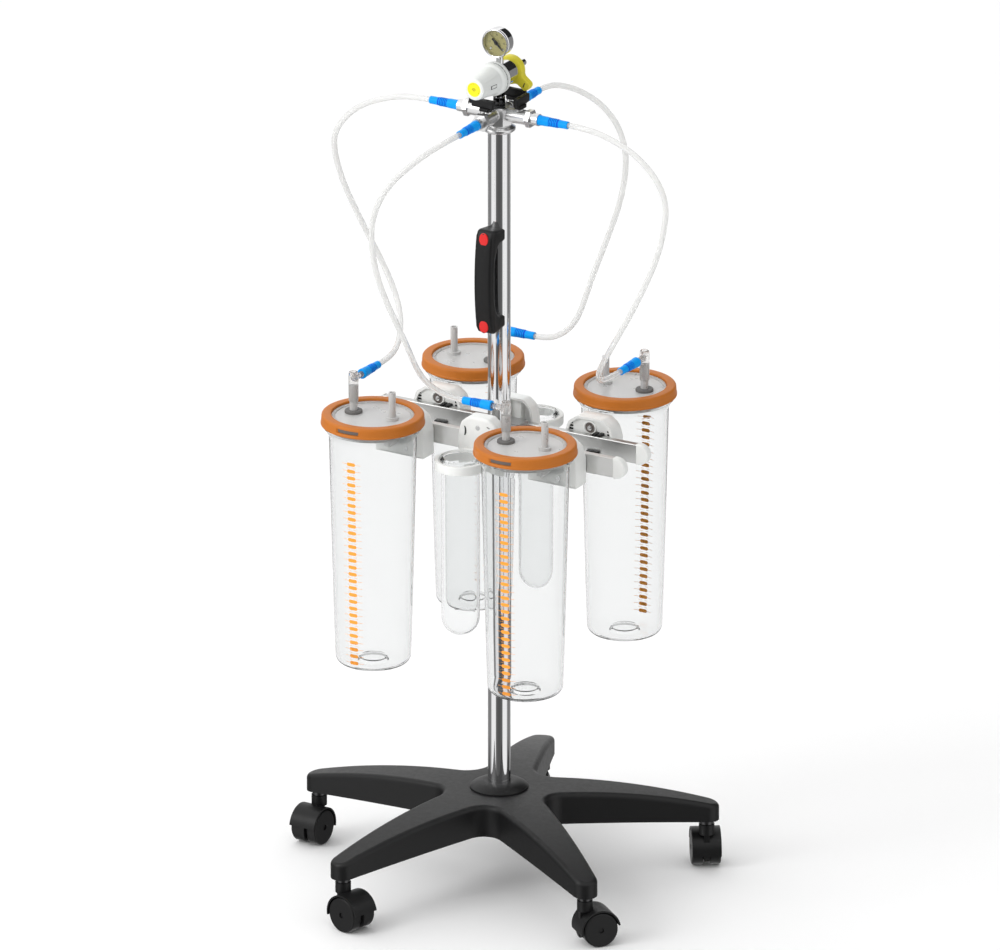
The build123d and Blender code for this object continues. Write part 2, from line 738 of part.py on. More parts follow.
def make_catheter_jar(name, side):
    upright = Plane(origin=(0, side * catheter_y, 0), x_dir=(1, 0, 0), z_dir=(0, -1, 0))
    ball_z = catheter_low_z + catheter_radius
    inner = catheter_radius - catheter_wall
    slant = math.sqrt(0.5)
    with BuildPart() as jar:
        with BuildSketch(upright):
            with BuildLine():
                ThreePointArc((0, catheter_low_z), (catheter_radius * slant, ball_z - catheter_radius * slant),
                              (catheter_radius, ball_z))
                Polyline((catheter_radius, ball_z), (catheter_radius, holder_top_z),
                         (catheter_rim_radius, holder_top_z), (catheter_rim_radius, catheter_top_z - 1.5),
                         (catheter_rim_radius - 1.5, catheter_top_z), (inner, catheter_top_z), (inner, ball_z))
                ThreePointArc((inner, ball_z), (inner * slant, ball_z - inner * slant), (0, ball_z - inner))
                Line((0, ball_z - inner), (0, catheter_low_z))
            make_face()
        revolve(axis=Axis(origin=(0, side * catheter_y, 0), direction=(0, 0, 1)))
    save(jar, name)


# ---------------------------------------------------------------- handle


def make_handle():
    middle_z = (handle_low_z + handle_top_z) / 2
    with BuildPart() as handle:
        with BuildSketch(Plane.YZ) as outline:
            with BuildLine():
                Polyline((0, handle_top_z - 3), (-handle_reach + 6, handle_top_z))
                ThreePointArc((-handle_reach + 6, handle_top_z), (-handle_reach + 1, handle_top_z - 3),
                              (-handle_reach, handle_top_z - 8))
                ThreePointArc((-handle_reach, handle_top_z - 8), (-handle_reach - handle_bulge, middle_z),
                              (-handle_reach, handle_low_z + 8))
                ThreePointArc((-handle_reach, handle_low_z + 8), (-handle_reach + 1, handle_low_z + 3),
                              (-handle_reach + 6, handle_low_z))
                Polyline((-handle_reach + 6, handle_low_z), (0, handle_low_z + 3), (0, handle_top_z - 3))
            make_face()
        extrude(amount=handle_half, both=True)
        fillet(handle.edges().filter_by(lambda e: abs(abs(e.center().X) - handle_half) < 0.1 and e.center().Y < -30), 5)
        with BuildSketch(Plane.YZ):
            with BuildLine():
                inner = -handle_reach - handle_bulge + grip_thick
                Polyline((2, handle_top_z - foot_height + 4), (-pole_radius - 6, handle_top_z - foot_height))
                ThreePointArc((-pole_radius - 6, handle_top_z - foot_height), (inner, middle_z),
                              (-pole_radius - 6, handle_low_z + foot_height))
                Polyline((-pole_radius - 6, handle_low_z + foot_height), (2, handle_low_z + foot_height - 4),
                         (2, handle_top_z - foot_height + 4))
            make_face()
        extrude(amount=2 * handle_half, both=True, mode=Mode.SUBTRACT)
        with BuildSketch(Plane.XY.offset(handle_low_z - 5)):
            Circle(pole_radius)
        extrude(amount=handle_top_z - handle_low_z + 10, mode=Mode.SUBTRACT)
    save(handle, "handle")
    with BuildPart() as caps:
        for height in (handle_low_z + 12, handle_top_z - 12.5):
            with BuildSketch(Plane.XZ.offset(handle_reach - 2)):
                with Locations((0, height)):
                    Ellipse(7, 9.5)
            extrude(amount=2 + cap_raise)
        fillet(caps.faces().sort_by(Axis.Y)[0:2].edges(), 1)
        add(handle.part, mode=Mode.SUBTRACT)
    save(caps, "handle_caps")


# ---------------------------------------------------------------- manifold, valves and hoses

# Valves and their hoses: 1 on -X, 2 on -Y, 3 on +Y, 4 on +X, each feeding the jar of its number.
valve_ways = [(-1, 0), (0, -1), (0, 1), (1, 0)]


def make_manifold():
    with BuildPart() as manifold:
        with BuildSketch(Plane.XZ):
            with BuildLine():
                flange = 23.0
                crown = 17.0
                Polyline((0, pole_top_z), (flange, pole_top_z), (flange, pole_top_z + 4),
                         (core_radius, manifold_z - valve_radius), (core_radius, manifold_z + valve_radius),
                         (crown, manifold_top_z - 4), (crown, manifold_top_z), (0, manifold_top_z), close=True)
            make_face()
        revolve(axis=Axis.Z)
        chamfer(manifold.edges().filter_by(GeomType.CIRCLE).group_by(Axis.Z)[-1], 1)
        for way in valve_ways:
            with BuildSketch(side_plane((0, 0, manifold_z), way)):
                Circle(9)
            extrude(amount=valve_start)
        with BuildSketch(Plane.XY.offset(pole_top_z)):
            Circle(4)
        extrude(amount=manifold_z - pole_top_z, mode=Mode.SUBTRACT)
    save(manifold, "manifold")
    with BuildPart() as valves:
        for way in valve_ways:
            with BuildSketch(side_plane((way[0] * valve_start, way[1] * valve_start, manifold_z), way)):
                Circle(valve_radius)
            extrude(amount=valve_body_end - valve_start)
            with BuildSketch(side_plane((way[0] * valve_body_end, way[1] * valve_body_end, manifold_z), way)):
                RegularPolygon(nut_af / 2, 6, major_radius=False)
            extrude(amount=7)
            with BuildSketch(side_plane((way[0] * valve_body_end, way[1] * valve_body_end, manifold_z), way)):
                Circle(8.5)
            extrude(amount=valve_connector_start - valve_body_end)
            with BuildSketch(side_plane((way[0] * valve_end, way[1] * valve_end, manifold_z), way)):
                Circle(barb_radius)
            extrude(amount=valve_connector_start + barb_into_connector - valve_end)
            with BuildSketch(Plane.XY.offset(manifold_z)):
                with Locations((way[0] * stem_at, way[1] * stem_at)):
                    Circle(6)
            extrude(amount=lever_low_z - 0.3 - manifold_z)
            with BuildSketch(Plane.XY.offset(manifold_z)):
                with Locations((way[0] * stem_at, way[1] * stem_at)):
                    Circle(3)
            extrude(amount=lever_base_z + 3 - manifold_z)
    save(valves, "valve_bodies")


def make_lever(number, way):
    # Shut: the wing lies across the flow, on the side that is the way with its X and Y swapped.
    wing = (way[1], way[0], 0)
    lift = Plane(origin=(way[0] * stem_at, way[1] * stem_at, lever_low_z), x_dir=wing, z_dir=(0, 0, 1))
    middle = lever_length / 2 - 11
    with BuildPart() as lever:
        with BuildSketch(lift):
            Circle(8.5)
            with Locations((3, 0)):
                Rectangle(17, 13)
        extrude(amount=lever_base_z - lever_low_z)
        with BuildSketch(lift.offset(lever_base_z - lever_low_z)):
            with Locations((middle, 0)):
                Rectangle(lever_length, lever_thick)
        extrude(amount=lever_top_z - lever_base_z)
        upright = lever.edges().filter_by(Axis.Z).filter_by(lambda e: e.center().Z > lever_base_z + 3)
        fillet(upright, 1.5)
        with BuildSketch(lift):
            Circle(3 + run_gap)
        extrude(amount=lever_base_z - lever_low_z + 3.3, mode=Mode.SUBTRACT)
    save(lever, "valve_lever_" + str(number))


def connector_ends():
    # Start point and direction of each connector: four on the valves, four on the jars' elbows.
    ends = []
    for way in valve_ways:
        ends.append(((way[0] * valve_connector_start, way[1] * valve_connector_start, manifold_z), way))
    for place, way in zip(jar_places, elbow_ways):
        port = vacuum_port(place)
        start = (port[0] + way[0] * elbow_connector_start, port[1] + way[1] * elbow_connector_start, barb_z)
        ends.append((start, way))
    return ends


def make_connectors():
    with BuildPart() as connectors:
        for start, way in connector_ends():
            middle = (start[0] + way[0] * connector_length * 0.6, start[1] + way[1] * connector_length * 0.6, start[2])
            with BuildSketch(side_plane(start, way)):
                Circle(connector_base_radius)
            with BuildSketch(side_plane(middle, way)):
                Circle(connector_tip_radius + 0.4)
            loft()
            with BuildSketch(side_plane(middle, way)):
                Circle(connector_tip_radius)
            extrude(amount=connector_length * 0.4)
            with BuildSketch(side_plane(start, way)):
                Circle(barb_radius)
            extrude(amount=barb_into_connector, mode=Mode.SUBTRACT)
    save(connectors, "hose_connectors")


# The hoses' routes, one point at each end of a run. Hoses 3 and 4 are hoses 2 and 1 turned half round the pole.
hose_1_route = [
    (-110, 0, 1129), (-142, 0, 1129), (-180, 0, 1120), (-217, 1, 1105), (-248, 3, 1081), (-271, 8, 1048),
    (-274, 20, 1008), (-268, 32, 968), (-255, 42, 930), (-239, 50, 892), (-221, 55, 857), (-202, 53, 824),
    (-183, 41, 795), (-168, 17, 773), (-157, -14, 759), (-153, -46, 754), (-153, -71, 754)]
hose_2_route = [
    (0, -110, 1129), (0, -137, 1129), (-12, -165, 1121), (-28, -190, 1106), (-49, -209, 1083), (-66, -220, 1052),
    (-76, -222, 1016), (-74, -222, 978), (-67, -219, 940), (-58, -209, 903), (-50, -195, 868), (-43, -180, 834),
    (-39, -166, 803), (-34, -153, 780), (-19, -143.5, 763), (3, -139, 754), (23, -139, 754)]


def half_turn(route):
    return [(-point[0], -point[1], point[2]) for point in route]


def corner_radii(route):
    # Each bend takes 0.45 of its shorter run.
    radii = []
    for before, corner, after in zip(route, route[1:], route[2:]):
        first = Vector(*corner) - Vector(*before)
        second = Vector(*after) - Vector(*corner)
        turn = first.get_angle(second)
        radii.append(0.45 * min(first.length, second.length) / math.tan(math.radians(turn / 2)))
    return radii


def make_hose(number, route):
    radii = corner_radii(route)
    print("hose", number, "radii", [round(radius) for radius in radii])
    start = Vector(*route[1]) - Vector(*route[0])
    with BuildPart() as hose:
        with BuildLine() as path:
            FilletPolyline(*route, radius=radii)
        with BuildSketch(Plane(origin=route[0], z_dir=start)):
            Circle(hose_radius)
        sweep(path=path.line)
    length = sum(edge.length for edge in path.line.edges())
    expected = math.pi * hose_radius ** 2 * length
    print("  length", round(length, 1), "volume ratio", round(hose.part.volume / expected, 4))
    save(hose, "hose_" + str(number))


# ---------------------------------------------------------------- regulator and gauge


def make_regulator():
    low = regulator_z
    with BuildPart() as body:
        # The body, the knob's spindle, the selector's neck and flange, and the inlet nipple.
        with BuildSketch(Plane.YZ):
            with BuildLine():
                Polyline((body_front - 28, low), (body_front - 28, low + spindle_radius),
                         (body_front, low + spindle_radius), (body_front, low + body_radius - 1),
                         (body_front + 1, low + body_radius), (body_back - 1, low + body_radius),
                         (body_back, low + body_radius - 1), (body_back, low + neck_radius),
                         (selector_back + 0.4, low + neck_radius), (selector_back + 0.4, low + neck_radius + 2),
                         (selector_back + 3.4, low + neck_radius + 2), (selector_back + 3.4, low + inlet_radius),
                         (inlet_end, low + inlet_radius), (inlet_end, low + 2.5), (selector_back, low + 2.5),
                         (selector_back, low), close=True)
            make_face()
        revolve(axis=Axis(origin=(0, 0, regulator_z), direction=(0, 1, 0)))
        # The riser from the manifold, with its nut, and the gauge's stem.
        with BuildSketch(Plane.XY.offset(manifold_top_z)):
            Circle(riser_radius)
        extrude(amount=regulator_z - manifold_top_z - 5)
        with BuildSketch(Plane.XY.offset(regulator_z + 5)):
            with Locations((0, gauge_stem_y)):
                Circle(5)
        extrude(amount=gauge_z - gauge_radius - 1.5 - regulator_z - 5)
    save(body, "regulator_body")


def make_selector():
    thumb = polar(thumb_reach - 16, thumb_angle)
    plane = Plane.XZ.offset(-selector_back)
    with BuildPart() as ring:
        with BuildSketch(plane):
            with Locations((0, regulator_z)):
                Circle(selector_radius)
            with Locations(Location((thumb[0], regulator_z + thumb[1], 0), (0, 0, thumb_angle))):
                SlotOverall(32, thumb_width)
            with Locations((0, regulator_z)):
                Circle(neck_radius + run_gap, mode=Mode.SUBTRACT)
        extrude(amount=selector_back - selector_front)
        rims = ring.edges().filter_by(lambda e: e.geom_type != GeomType.CIRCLE or e.radius > 20)
        chamfer(rims.filter_by(Axis.Y, reverse=True), 1)
    save(ring, "selector_ring")


def make_knob():
    axis = Axis(origin=(0, 0, regulator_z), direction=(0, 1, 0))
    with BuildPart() as knob:
        with BuildSketch(Plane.YZ.offset(0)):
            with BuildLine():
                low = regulator_z
                Polyline((knob_front, low), (knob_front, low + knob_front_radius - 3))
                ThreePointArc((knob_front, low + knob_front_radius - 3),
                              (knob_front + 1, low + knob_front_radius - 0.8),
                              (knob_front + 3.5, low + knob_front_radius))
                Polyline((knob_front + 3.5, low + knob_front_radius), (-26, low + 21), (-23, low + 23),
                         (-17, low + knob_back_radius), (-16.5, low + 22.7), (-15, low + 22.7),
                         (-14.5, low + knob_back_radius), (knob_back - 1, low + knob_back_radius),
                         (knob_back, low + knob_back_radius - 1), (knob_back, low), (knob_front, low))
            make_face()
        revolve(axis=axis)
        with BuildSketch(Plane.XZ.offset(-knob_back)):
            with Locations((0, regulator_z)):
                Circle(spindle_radius + run_gap)
        extrude(amount=30, mode=Mode.SUBTRACT)
    save(knob, "control_knob")


def make_gauge():
    back = gauge_front + gauge_depth
    with BuildPart() as case:
        with BuildSketch(Plane.XZ.offset(-back)):
            with Locations((0, gauge_z)):
                Circle(gauge_radius)
        extrude(amount=gauge_depth)
        fillet(case.faces().sort_by(Axis.Y)[-1].edges(), 3)
        with BuildSketch(Plane.XZ.offset(-gauge_front)):
            with Locations((0, gauge_z)):
                Circle(gauge_radius - 2)
        extrude(amount=-7, mode=Mode.SUBTRACT)
        with BuildSketch(Plane.XY.offset(gauge_z - gauge_radius - 1.5)):
            with Locations((0, gauge_stem_y)):
                RegularPolygon(6.5, 6, major_radius=False)
        extrude(amount=8)
        with BuildSketch(Plane.XZ.offset(-gauge_front - 7)):
            with Locations((0, gauge_z)):
                Circle(1.5)
        extrude(amount=4)
    save(case, "gauge_case")
    with BuildPart() as dial:
        with BuildSketch(Plane.XZ.offset(-gauge_front - 7)):
            with Locations((0, gauge_z)):
                Circle(gauge_radius - 2)
                Circle(1.5, mode=Mode.SUBTRACT)
        extrude(amount=1)
    save(dial, "gauge_dial")
    with BuildPart() as needle:
        with BuildSketch(Plane.XZ.offset(-gauge_front - 5.5)):
            with Locations(Location((0, gauge_z, 0), (0, 0, needle_start_deg))):
                Circle(3)
                with Locations((4.5, 0)):
                    Trapezoid(19, 2.2, 89, rotation=0)
                Circle(1.5 + run_gap, mode=Mode.SUBTRACT)
        extrude(amount=0.8)
    save(needle, "gauge_needle")
    with BuildPart() as lens:
        with BuildSketch(Plane.XZ.offset(-gauge_front - 2.2)):
            with Locations((0, gauge_z)):
                Circle(gauge_radius - 2)
        extrude(amount=1.5)
    save(lens, "gauge_lens")


make_base()
make_collar()
make_hub_bolt()
make_pole()
make_stems()
for index, (leg_angle, trail_angle) in enumerate(zip(leg_angles, trail_angles)):
    make_castor(index + 1, leg_angle, trail_angle)
make_rails()
for index, place in enumerate(jar_places):
    make_jar(index + 1, place)
    make_lid(index + 1, place)
make_rings()
make_gaskets()
make_elbows()
make_filters()
make_jar_brackets()
make_catheter_holder("catheter_holder_front", -1)
make_catheter_holder("catheter_holder_back", 1)
make_catheter_jar("catheter_jar_front", -1)
make_catheter_jar("catheter_jar_back", 1)
make_handle()
make_manifold()
for index, way in enumerate(valve_ways):
    make_lever(index + 1, way)
make_connectors()
make_hose(1, hose_1_route)
make_hose(2, hose_2_route)
make_hose(3, half_turn(hose_2_route))
make_hose(4, half_turn(hose_1_route))
make_regulator()
make_selector()
make_knob()
make_gauge()
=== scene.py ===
import json
import math

import bmesh
import bpy
from mathutils import Matrix, Vector


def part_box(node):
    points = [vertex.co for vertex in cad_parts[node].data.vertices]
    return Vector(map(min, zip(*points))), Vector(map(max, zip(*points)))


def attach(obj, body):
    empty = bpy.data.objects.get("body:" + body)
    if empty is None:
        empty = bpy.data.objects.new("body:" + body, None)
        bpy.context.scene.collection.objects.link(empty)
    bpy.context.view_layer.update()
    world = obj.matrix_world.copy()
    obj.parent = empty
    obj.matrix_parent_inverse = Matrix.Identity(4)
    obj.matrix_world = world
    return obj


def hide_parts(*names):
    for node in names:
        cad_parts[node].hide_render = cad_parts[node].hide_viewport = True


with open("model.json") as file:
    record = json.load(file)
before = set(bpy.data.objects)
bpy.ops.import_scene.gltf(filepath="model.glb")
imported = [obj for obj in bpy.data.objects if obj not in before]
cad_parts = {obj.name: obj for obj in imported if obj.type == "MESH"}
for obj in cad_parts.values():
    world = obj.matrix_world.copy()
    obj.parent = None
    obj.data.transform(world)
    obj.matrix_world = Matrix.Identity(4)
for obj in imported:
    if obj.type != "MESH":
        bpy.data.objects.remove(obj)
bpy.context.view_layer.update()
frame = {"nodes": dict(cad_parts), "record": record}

FRAME_BODY = "trolley_frame"
MM = 0.001
TOWARDS_FRONT = Matrix.Rotation(math.radians(90), 4, "X")


# ---------------------------------------------------------------- camera, light and floor

AZIMUTH = math.radians(30)
ELEVATION = math.radians(20)
CAMERA_DISTANCE = 30.0
FRAME_WIDTH = 1.40
AIM_RIGHT = 0.0011
AIM_UP = 0.560

RIGHT = Vector((math.cos(AZIMUTH), math.sin(AZIMUTH), 0))
BACK = Vector((math.sin(AZIMUTH) * math.cos(ELEVATION), -math.cos(AZIMUTH) * math.cos(ELEVATION),
               math.sin(ELEVATION)))
UP = BACK.cross(RIGHT)


def make_camera():
    data = bpy.data.cameras.new("camera")
    data.sensor_width = 36
    data.lens = data.sensor_width * CAMERA_DISTANCE / FRAME_WIDTH
    data.clip_end = 2 * CAMERA_DISTANCE
    camera = bpy.data.objects.new("camera", data)
    bpy.context.collection.objects.link(camera)
    camera.location = RIGHT * AIM_RIGHT + UP * AIM_UP + BACK * CAMERA_DISTANCE
    camera.rotation_euler = BACK.to_track_quat("Z", "Y").to_euler()
    bpy.context.scene.camera = camera


def area_light(name, place, target, size, power):
    data = bpy.data.lights.new(name, "AREA")
    data.shape = "RECTANGLE"
    data.size, data.size_y = size
    data.energy = power
    light = bpy.data.objects.new(name, data)
    bpy.context.collection.objects.link(light)
    light.location = place
    light.rotation_euler = (Vector(place) - Vector(target)).to_track_quat("Z", "Y").to_euler()


def blended(tree, share, first, second):
    # A colour node that goes from the first input to the second. Each is a colour or another node's output.
    node = tree.nodes.new("ShaderNodeMix")
    node.data_type = "RGBA"
    tree.links.new(share, node.inputs["Factor"])
    for name, value in (("A", first), ("B", second)):
        if isinstance(value, tuple):
            node.inputs[name].default_value = value
        else:
            tree.links.new(value, node.inputs[name])
    return node.outputs["Result"]


def ranged(tree, value, low, high, new_low=0.0, new_high=1.0):
    node = tree.nodes.new("ShaderNodeMapRange")
    for name, limit in (("From Min", low), ("From Max", high), ("To Min", new_low), ("To Max", new_high)):
        node.inputs[name].default_value = limit
    tree.links.new(value, node.inputs["Value"])
    return node.outputs["Result"]


def towards(tree, vector, direction):
    node = tree.nodes.new("ShaderNodeVectorMath")
    node.operation = "DOT_PRODUCT"
    node.inputs[1].default_value = direction
    tree.links.new(vector, node.inputs[0])
    return node.outputs["Value"]


# The greys met on the way round the horizon, from behind the object (0) to the side it is seen from (1).
CHROME_BANDS = [(0.0, 0.9), (0.02, 0.8), (0.06, 0.3), (0.42, 0.2), (0.52, 0.4), (0.58, 1.0), (0.9, 1.0),
                (0.93, 0.16), (1.0, 0.1)]
FRONT_DIRECTION = (0.5, -0.866, 0)
DARK_OPENING = (0.2, 0.8, 0.56)
LIT_SIDE = (-0.75, -0.2, 0.63)


def make_world():
    # A white studio. Towards the front and the sides it has the dark bands that chrome needs to mirror.
    world = bpy.data.worlds.new("studio")
    bpy.context.scene.world = world
    world.use_nodes = True
    tree = world.node_tree
    nodes, links = tree.nodes, tree.links
    direction = nodes.new("ShaderNodeTexCoord").outputs["Generated"]
    path = nodes.new("ShaderNodeLightPath").outputs
    parts = nodes.new("ShaderNodeSeparateXYZ")
    links.new(direction, parts.inputs["Vector"])
    flat = nodes.new("ShaderNodeCombineXYZ")
    links.new(parts.outputs["X"], flat.inputs["X"])
    links.new(parts.outputs["Y"], flat.inputs["Y"])
    unit = nodes.new("ShaderNodeVectorMath")
    unit.operation = "NORMALIZE"
    links.new(flat.outputs["Vector"], unit.inputs[0])
    bands = nodes.new("ShaderNodeValToRGB")
    while len(bands.color_ramp.elements) < len(CHROME_BANDS):
        bands.color_ramp.elements.new(0.5)
    for element, (position, grey) in zip(bands.color_ramp.elements, CHROME_BANDS):
        element.position = position
        element.color = (grey, grey, grey, 1)
    links.new(ranged(tree, towards(tree, unit.outputs["Vector"], FRONT_DIRECTION), -1, 1), bands.inputs["Fac"])
    overhead = ranged(tree, parts.outputs["Z"], 0.2, 0.45)
    studio = blended(tree, overhead, bands.outputs["Color"], (1.15, 1.15, 1.15, 1))
    # Only mirrors see the dark opening high up at the back.
    opening = nodes.new("ShaderNodeMath")
    opening.operation = "MULTIPLY"
    links.new(ranged(tree, towards(tree, direction, DARK_OPENING), 0.875, 0.9), opening.inputs[0])
    links.new(path["Is Glossy Ray"], opening.inputs[1])
    mirrored = blended(tree, opening.outputs["Value"], studio, (0.02, 0.02, 0.02, 1))
    # Matt faces are lit from above and from the left, so the sides that face right fall into soft shade.
    soft = ranged(tree, towards(tree, direction, LIT_SIDE), -0.7, 0.8, 0.12, 1.35)
    lit = blended(tree, path["Is Diffuse Ray"], mirrored, soft)
    backdrop = blended(tree, path["Is Camera Ray"], lit, (1, 1, 1, 1))
    links.new(backdrop, nodes["Background"].inputs["Color"])


def make_floor():
    mesh = bpy.data.meshes.new("floor")
    half = 20.0
    mesh.from_pydata([(-half, -half, 0), (half, -half, 0), (half, half, 0), (-half, half, 0)], [],
                     [(0, 1, 2, 3)])
    floor = bpy.data.objects.new("floor", mesh)
    bpy.context.collection.objects.link(floor)
    material = bpy.data.materials.new("floor")
    material.use_nodes = True
    shader = material.node_tree.nodes["Principled BSDF"]
    shader.inputs["Base Color"].default_value = (0.95, 0.95, 0.95, 1)
    shader.inputs["Roughness"].default_value = 0.9
    mesh.materials.append(material)
    floor.visible_glossy = False


# ---------------------------------------------------------------- materials


def material(name, colour, roughness, metallic=0.0, vary=0.06, grain=400.0, bump=0.0, rough_vary=0.08,
             stretch=(1, 1, 1), **extra):
    # Noise varies the colour and the roughness a little, and lifts the surface with a fine grain.
    result = bpy.data.materials.new(name)
    result.use_nodes = True
    nodes, links = result.node_tree.nodes, result.node_tree.links
    shader = nodes["Principled BSDF"]
    place = nodes.new("ShaderNodeTexCoord")
    scale = nodes.new("ShaderNodeMapping")
    scale.inputs["Scale"].default_value = stretch
    links.new(place.outputs["Object"], scale.inputs["Vector"])
    noise = nodes.new("ShaderNodeTexNoise")
    noise.inputs["Scale"].default_value = grain * 0.1
    noise.inputs["Detail"].default_value = 4
    links.new(scale.outputs["Vector"], noise.inputs["Vector"])
    tint = nodes.new("ShaderNodeMix")
    tint.data_type = "RGBA"
    dark = [channel * (1 - vary) for channel in colour[:3]]
    light = [min(1, channel * (1 + vary)) for channel in colour[:3]]
    tint.inputs["A"].default_value = (*dark, 1)
    tint.inputs["B"].default_value = (*light, 1)
    links.new(noise.outputs["Fac"], tint.inputs["Factor"])
    links.new(tint.outputs["Result"], shader.inputs["Base Color"])
    spread = nodes.new("ShaderNodeMapRange")
    spread.inputs["To Min"].default_value = max(0.0, roughness - rough_vary)
    spread.inputs["To Max"].default_value = min(1.0, roughness + rough_vary)
    links.new(noise.outputs["Fac"], spread.inputs["Value"])
    links.new(spread.outputs["Result"], shader.inputs["Roughness"])
    if bump:
        fine = nodes.new("ShaderNodeTexNoise")
        fine.inputs["Scale"].default_value = grain
        fine.inputs["Detail"].default_value = 3
        links.new(scale.outputs["Vector"], fine.inputs["Vector"])
        lift = nodes.new("ShaderNodeBump")
        lift.inputs["Strength"].default_value = bump
        lift.inputs["Distance"].default_value = 0.0004
        links.new(fine.outputs["Fac"], lift.inputs["Height"])
        links.new(lift.outputs["Normal"], shader.inputs["Normal"])
    shader.inputs["Metallic"].default_value = metallic
    for key, value in extra.items():
        shader.inputs[key.replace("_", " ")].default_value = value
    return result


def thicken_edges(result, density):
    # A light grey absorption inside the wall darkens it where it is seen edge on.
    nodes, links = result.node_tree.nodes, result.node_tree.links
    inside = nodes.new("ShaderNodeVolumeAbsorption")
    inside.inputs["Color"].default_value = (0, 0, 0, 1)
    inside.inputs["Density"].default_value = density
    links.new(inside.outputs["Volume"], nodes["Material Output"].inputs["Volume"])


CHARCOAL = material("charcoal plastic", (0.008, 0.008, 0.0083), 0.42, grain=1500, bump=0.15,
                    Specular_IOR_Level=0.28)
BLACK = material("black plastic", (0.008, 0.008, 0.0083), 0.42, grain=1500, bump=0.15, Specular_IOR_Level=0.3)
TYRE = material("castor wheel", (0.008, 0.008, 0.0083), 0.4, grain=900, bump=0.1, Specular_IOR_Level=0.28)
STEM_STEEL = material("dark castor stem", (0.09, 0.09, 0.092), 0.3, 1.0, grain=800, bump=0.05)
CHROME = material("chrome", (0.82, 0.82, 0.83), 0.07, 1.0, vary=0.02, grain=300, rough_vary=0.03)
BLACK_CHROME = material("black chrome", (0.05, 0.05, 0.052), 0.12, 1.0, vary=0.02, grain=300, rough_vary=0.03)
ZINC = material("zinc plated steel", (0.6, 0.6, 0.6), 0.3, 1.0, grain=800, bump=0.05)
RAIL_STEEL = material("brushed rail", (0.62, 0.62, 0.61), 0.33, 1.0, grain=900, bump=0.15, stretch=(0.02, 1, 1))
CLAMP = material("satin clamp metal", (0.55, 0.55, 0.55), 0.35, 1.0, grain=900, bump=0.1)
WHITE = material("white plastic", (0.87, 0.88, 0.86), 0.4, grain=1200, bump=0.08, vary=0.02)
KNOB = material("knob plastic", (0.78, 0.8, 0.78), 0.35, grain=1200, bump=0.05, vary=0.02)
CLEAR = material("clear jar plastic", (0.97, 0.975, 0.975), 0.03, vary=0.01, rough_vary=0.02,
                 Transmission_Weight=1.0, IOR=1.12)
thicken_edges(CLEAR, 14)
FROSTED = material("frosted lid plastic", (0.74, 0.735, 0.725), 0.3, vary=0.03, bump=0.05,
                   Transmission_Weight=0.35, IOR=1.4)
# A lighter frosted plastic: painted highlight on the raised rim round each lid.
LID_RIM_HIGHLIGHT = material("frosted plastic, painted rim highlight", (0.8, 0.78, 0.76), 0.3, vary=0.03, Transmission_Weight=0.6, IOR=1.3)
ORANGE = material("orange ring plastic", (0.52, 0.155, 0.014), 0.45, grain=1500, bump=0.1, vary=0.05,
                  Specular_IOR_Level=0.3)
GASKET = material("gasket rubber", (0.14, 0.135, 0.13), 0.6, grain=900, bump=0.2)
FELT = material("filter felt", (0.8, 0.8, 0.77), 0.9, grain=1500, bump=0.8)
RED = material("red plastic", (0.72, 0.006, 0.006), 0.35, grain=1200, bump=0.05)
BLUE = material("blue rubber", (0.0, 0.33, 0.9), 0.4, grain=1200, bump=0.1, Specular_IOR_Level=0.15)
CAST = material("satin plated casting", (0.78, 0.78, 0.78), 0.3, 1.0, vary=0.03, grain=700, bump=0.05)
HOSE = material("clear hose", (0.9, 0.9, 0.89), 0.2, vary=0.02, rough_vary=0.04, Transmission_Weight=0.55,
                IOR=1.2)
ELBOW = material("clear elbow plastic", (0.88, 0.87, 0.86), 0.08, vary=0.02, Transmission_Weight=0.85, IOR=1.3)
# Painted shade: a dark brown-grey for the ring slots and the bracket recesses, where there is only shade.
PAINTED_SLOT_SHADE = material("painted slot shade", (0.13, 0.11, 0.1), 0.35, grain=900, bump=0.05)
YELLOW = material("yellow plastic", (0.74, 0.65, 0.03), 0.4, grain=1200, bump=0.08)
DIAL = material("dial face", (0.46, 0.42, 0.17), 0.5, vary=0.03)
NEEDLE = material("needle paint", (0.01, 0.01, 0.01), 0.4)
LENS = material("gauge lens", (0.98, 0.98, 0.98), 0.02, vary=0.01, rough_vary=0.01, Transmission_Weight=1.0,
                IOR=1.2)
PRINT = material("scale print", (1.0, 0.36, 0.03), 0.5, grain=1500, bump=0.05, vary=0.05)
# A darker copy of the knob plastic: painted shade in the serrations.
KNOB_SHADE = material("knob plastic, painted serration shade", (0.5, 0.52, 0.5), 0.4, grain=1200, bump=0.05)
# Dark print, and painted shade where it marks the knob's serration dashes, the holders' slots and the handle
# caps' notches.
PRINT_AND_PAINTED_SHADE = material("dark print and painted shade", (0.02, 0.02, 0.02), 0.5, grain=1200, bump=0.05)
LABEL_YELLOW = material("label yellow", (1.0, 0.88, 0.0), 0.5, grain=1200, bump=0.03, vary=0.02)
# A darker copy of the blue rubber: painted shade in the connectors' grooves.
BLUE_GROOVE_SHADE = material("blue rubber, painted groove shade", (0.0, 0.1, 0.68), 0.45, grain=1200, bump=0.1,
                     Specular_IOR_Level=0.15)

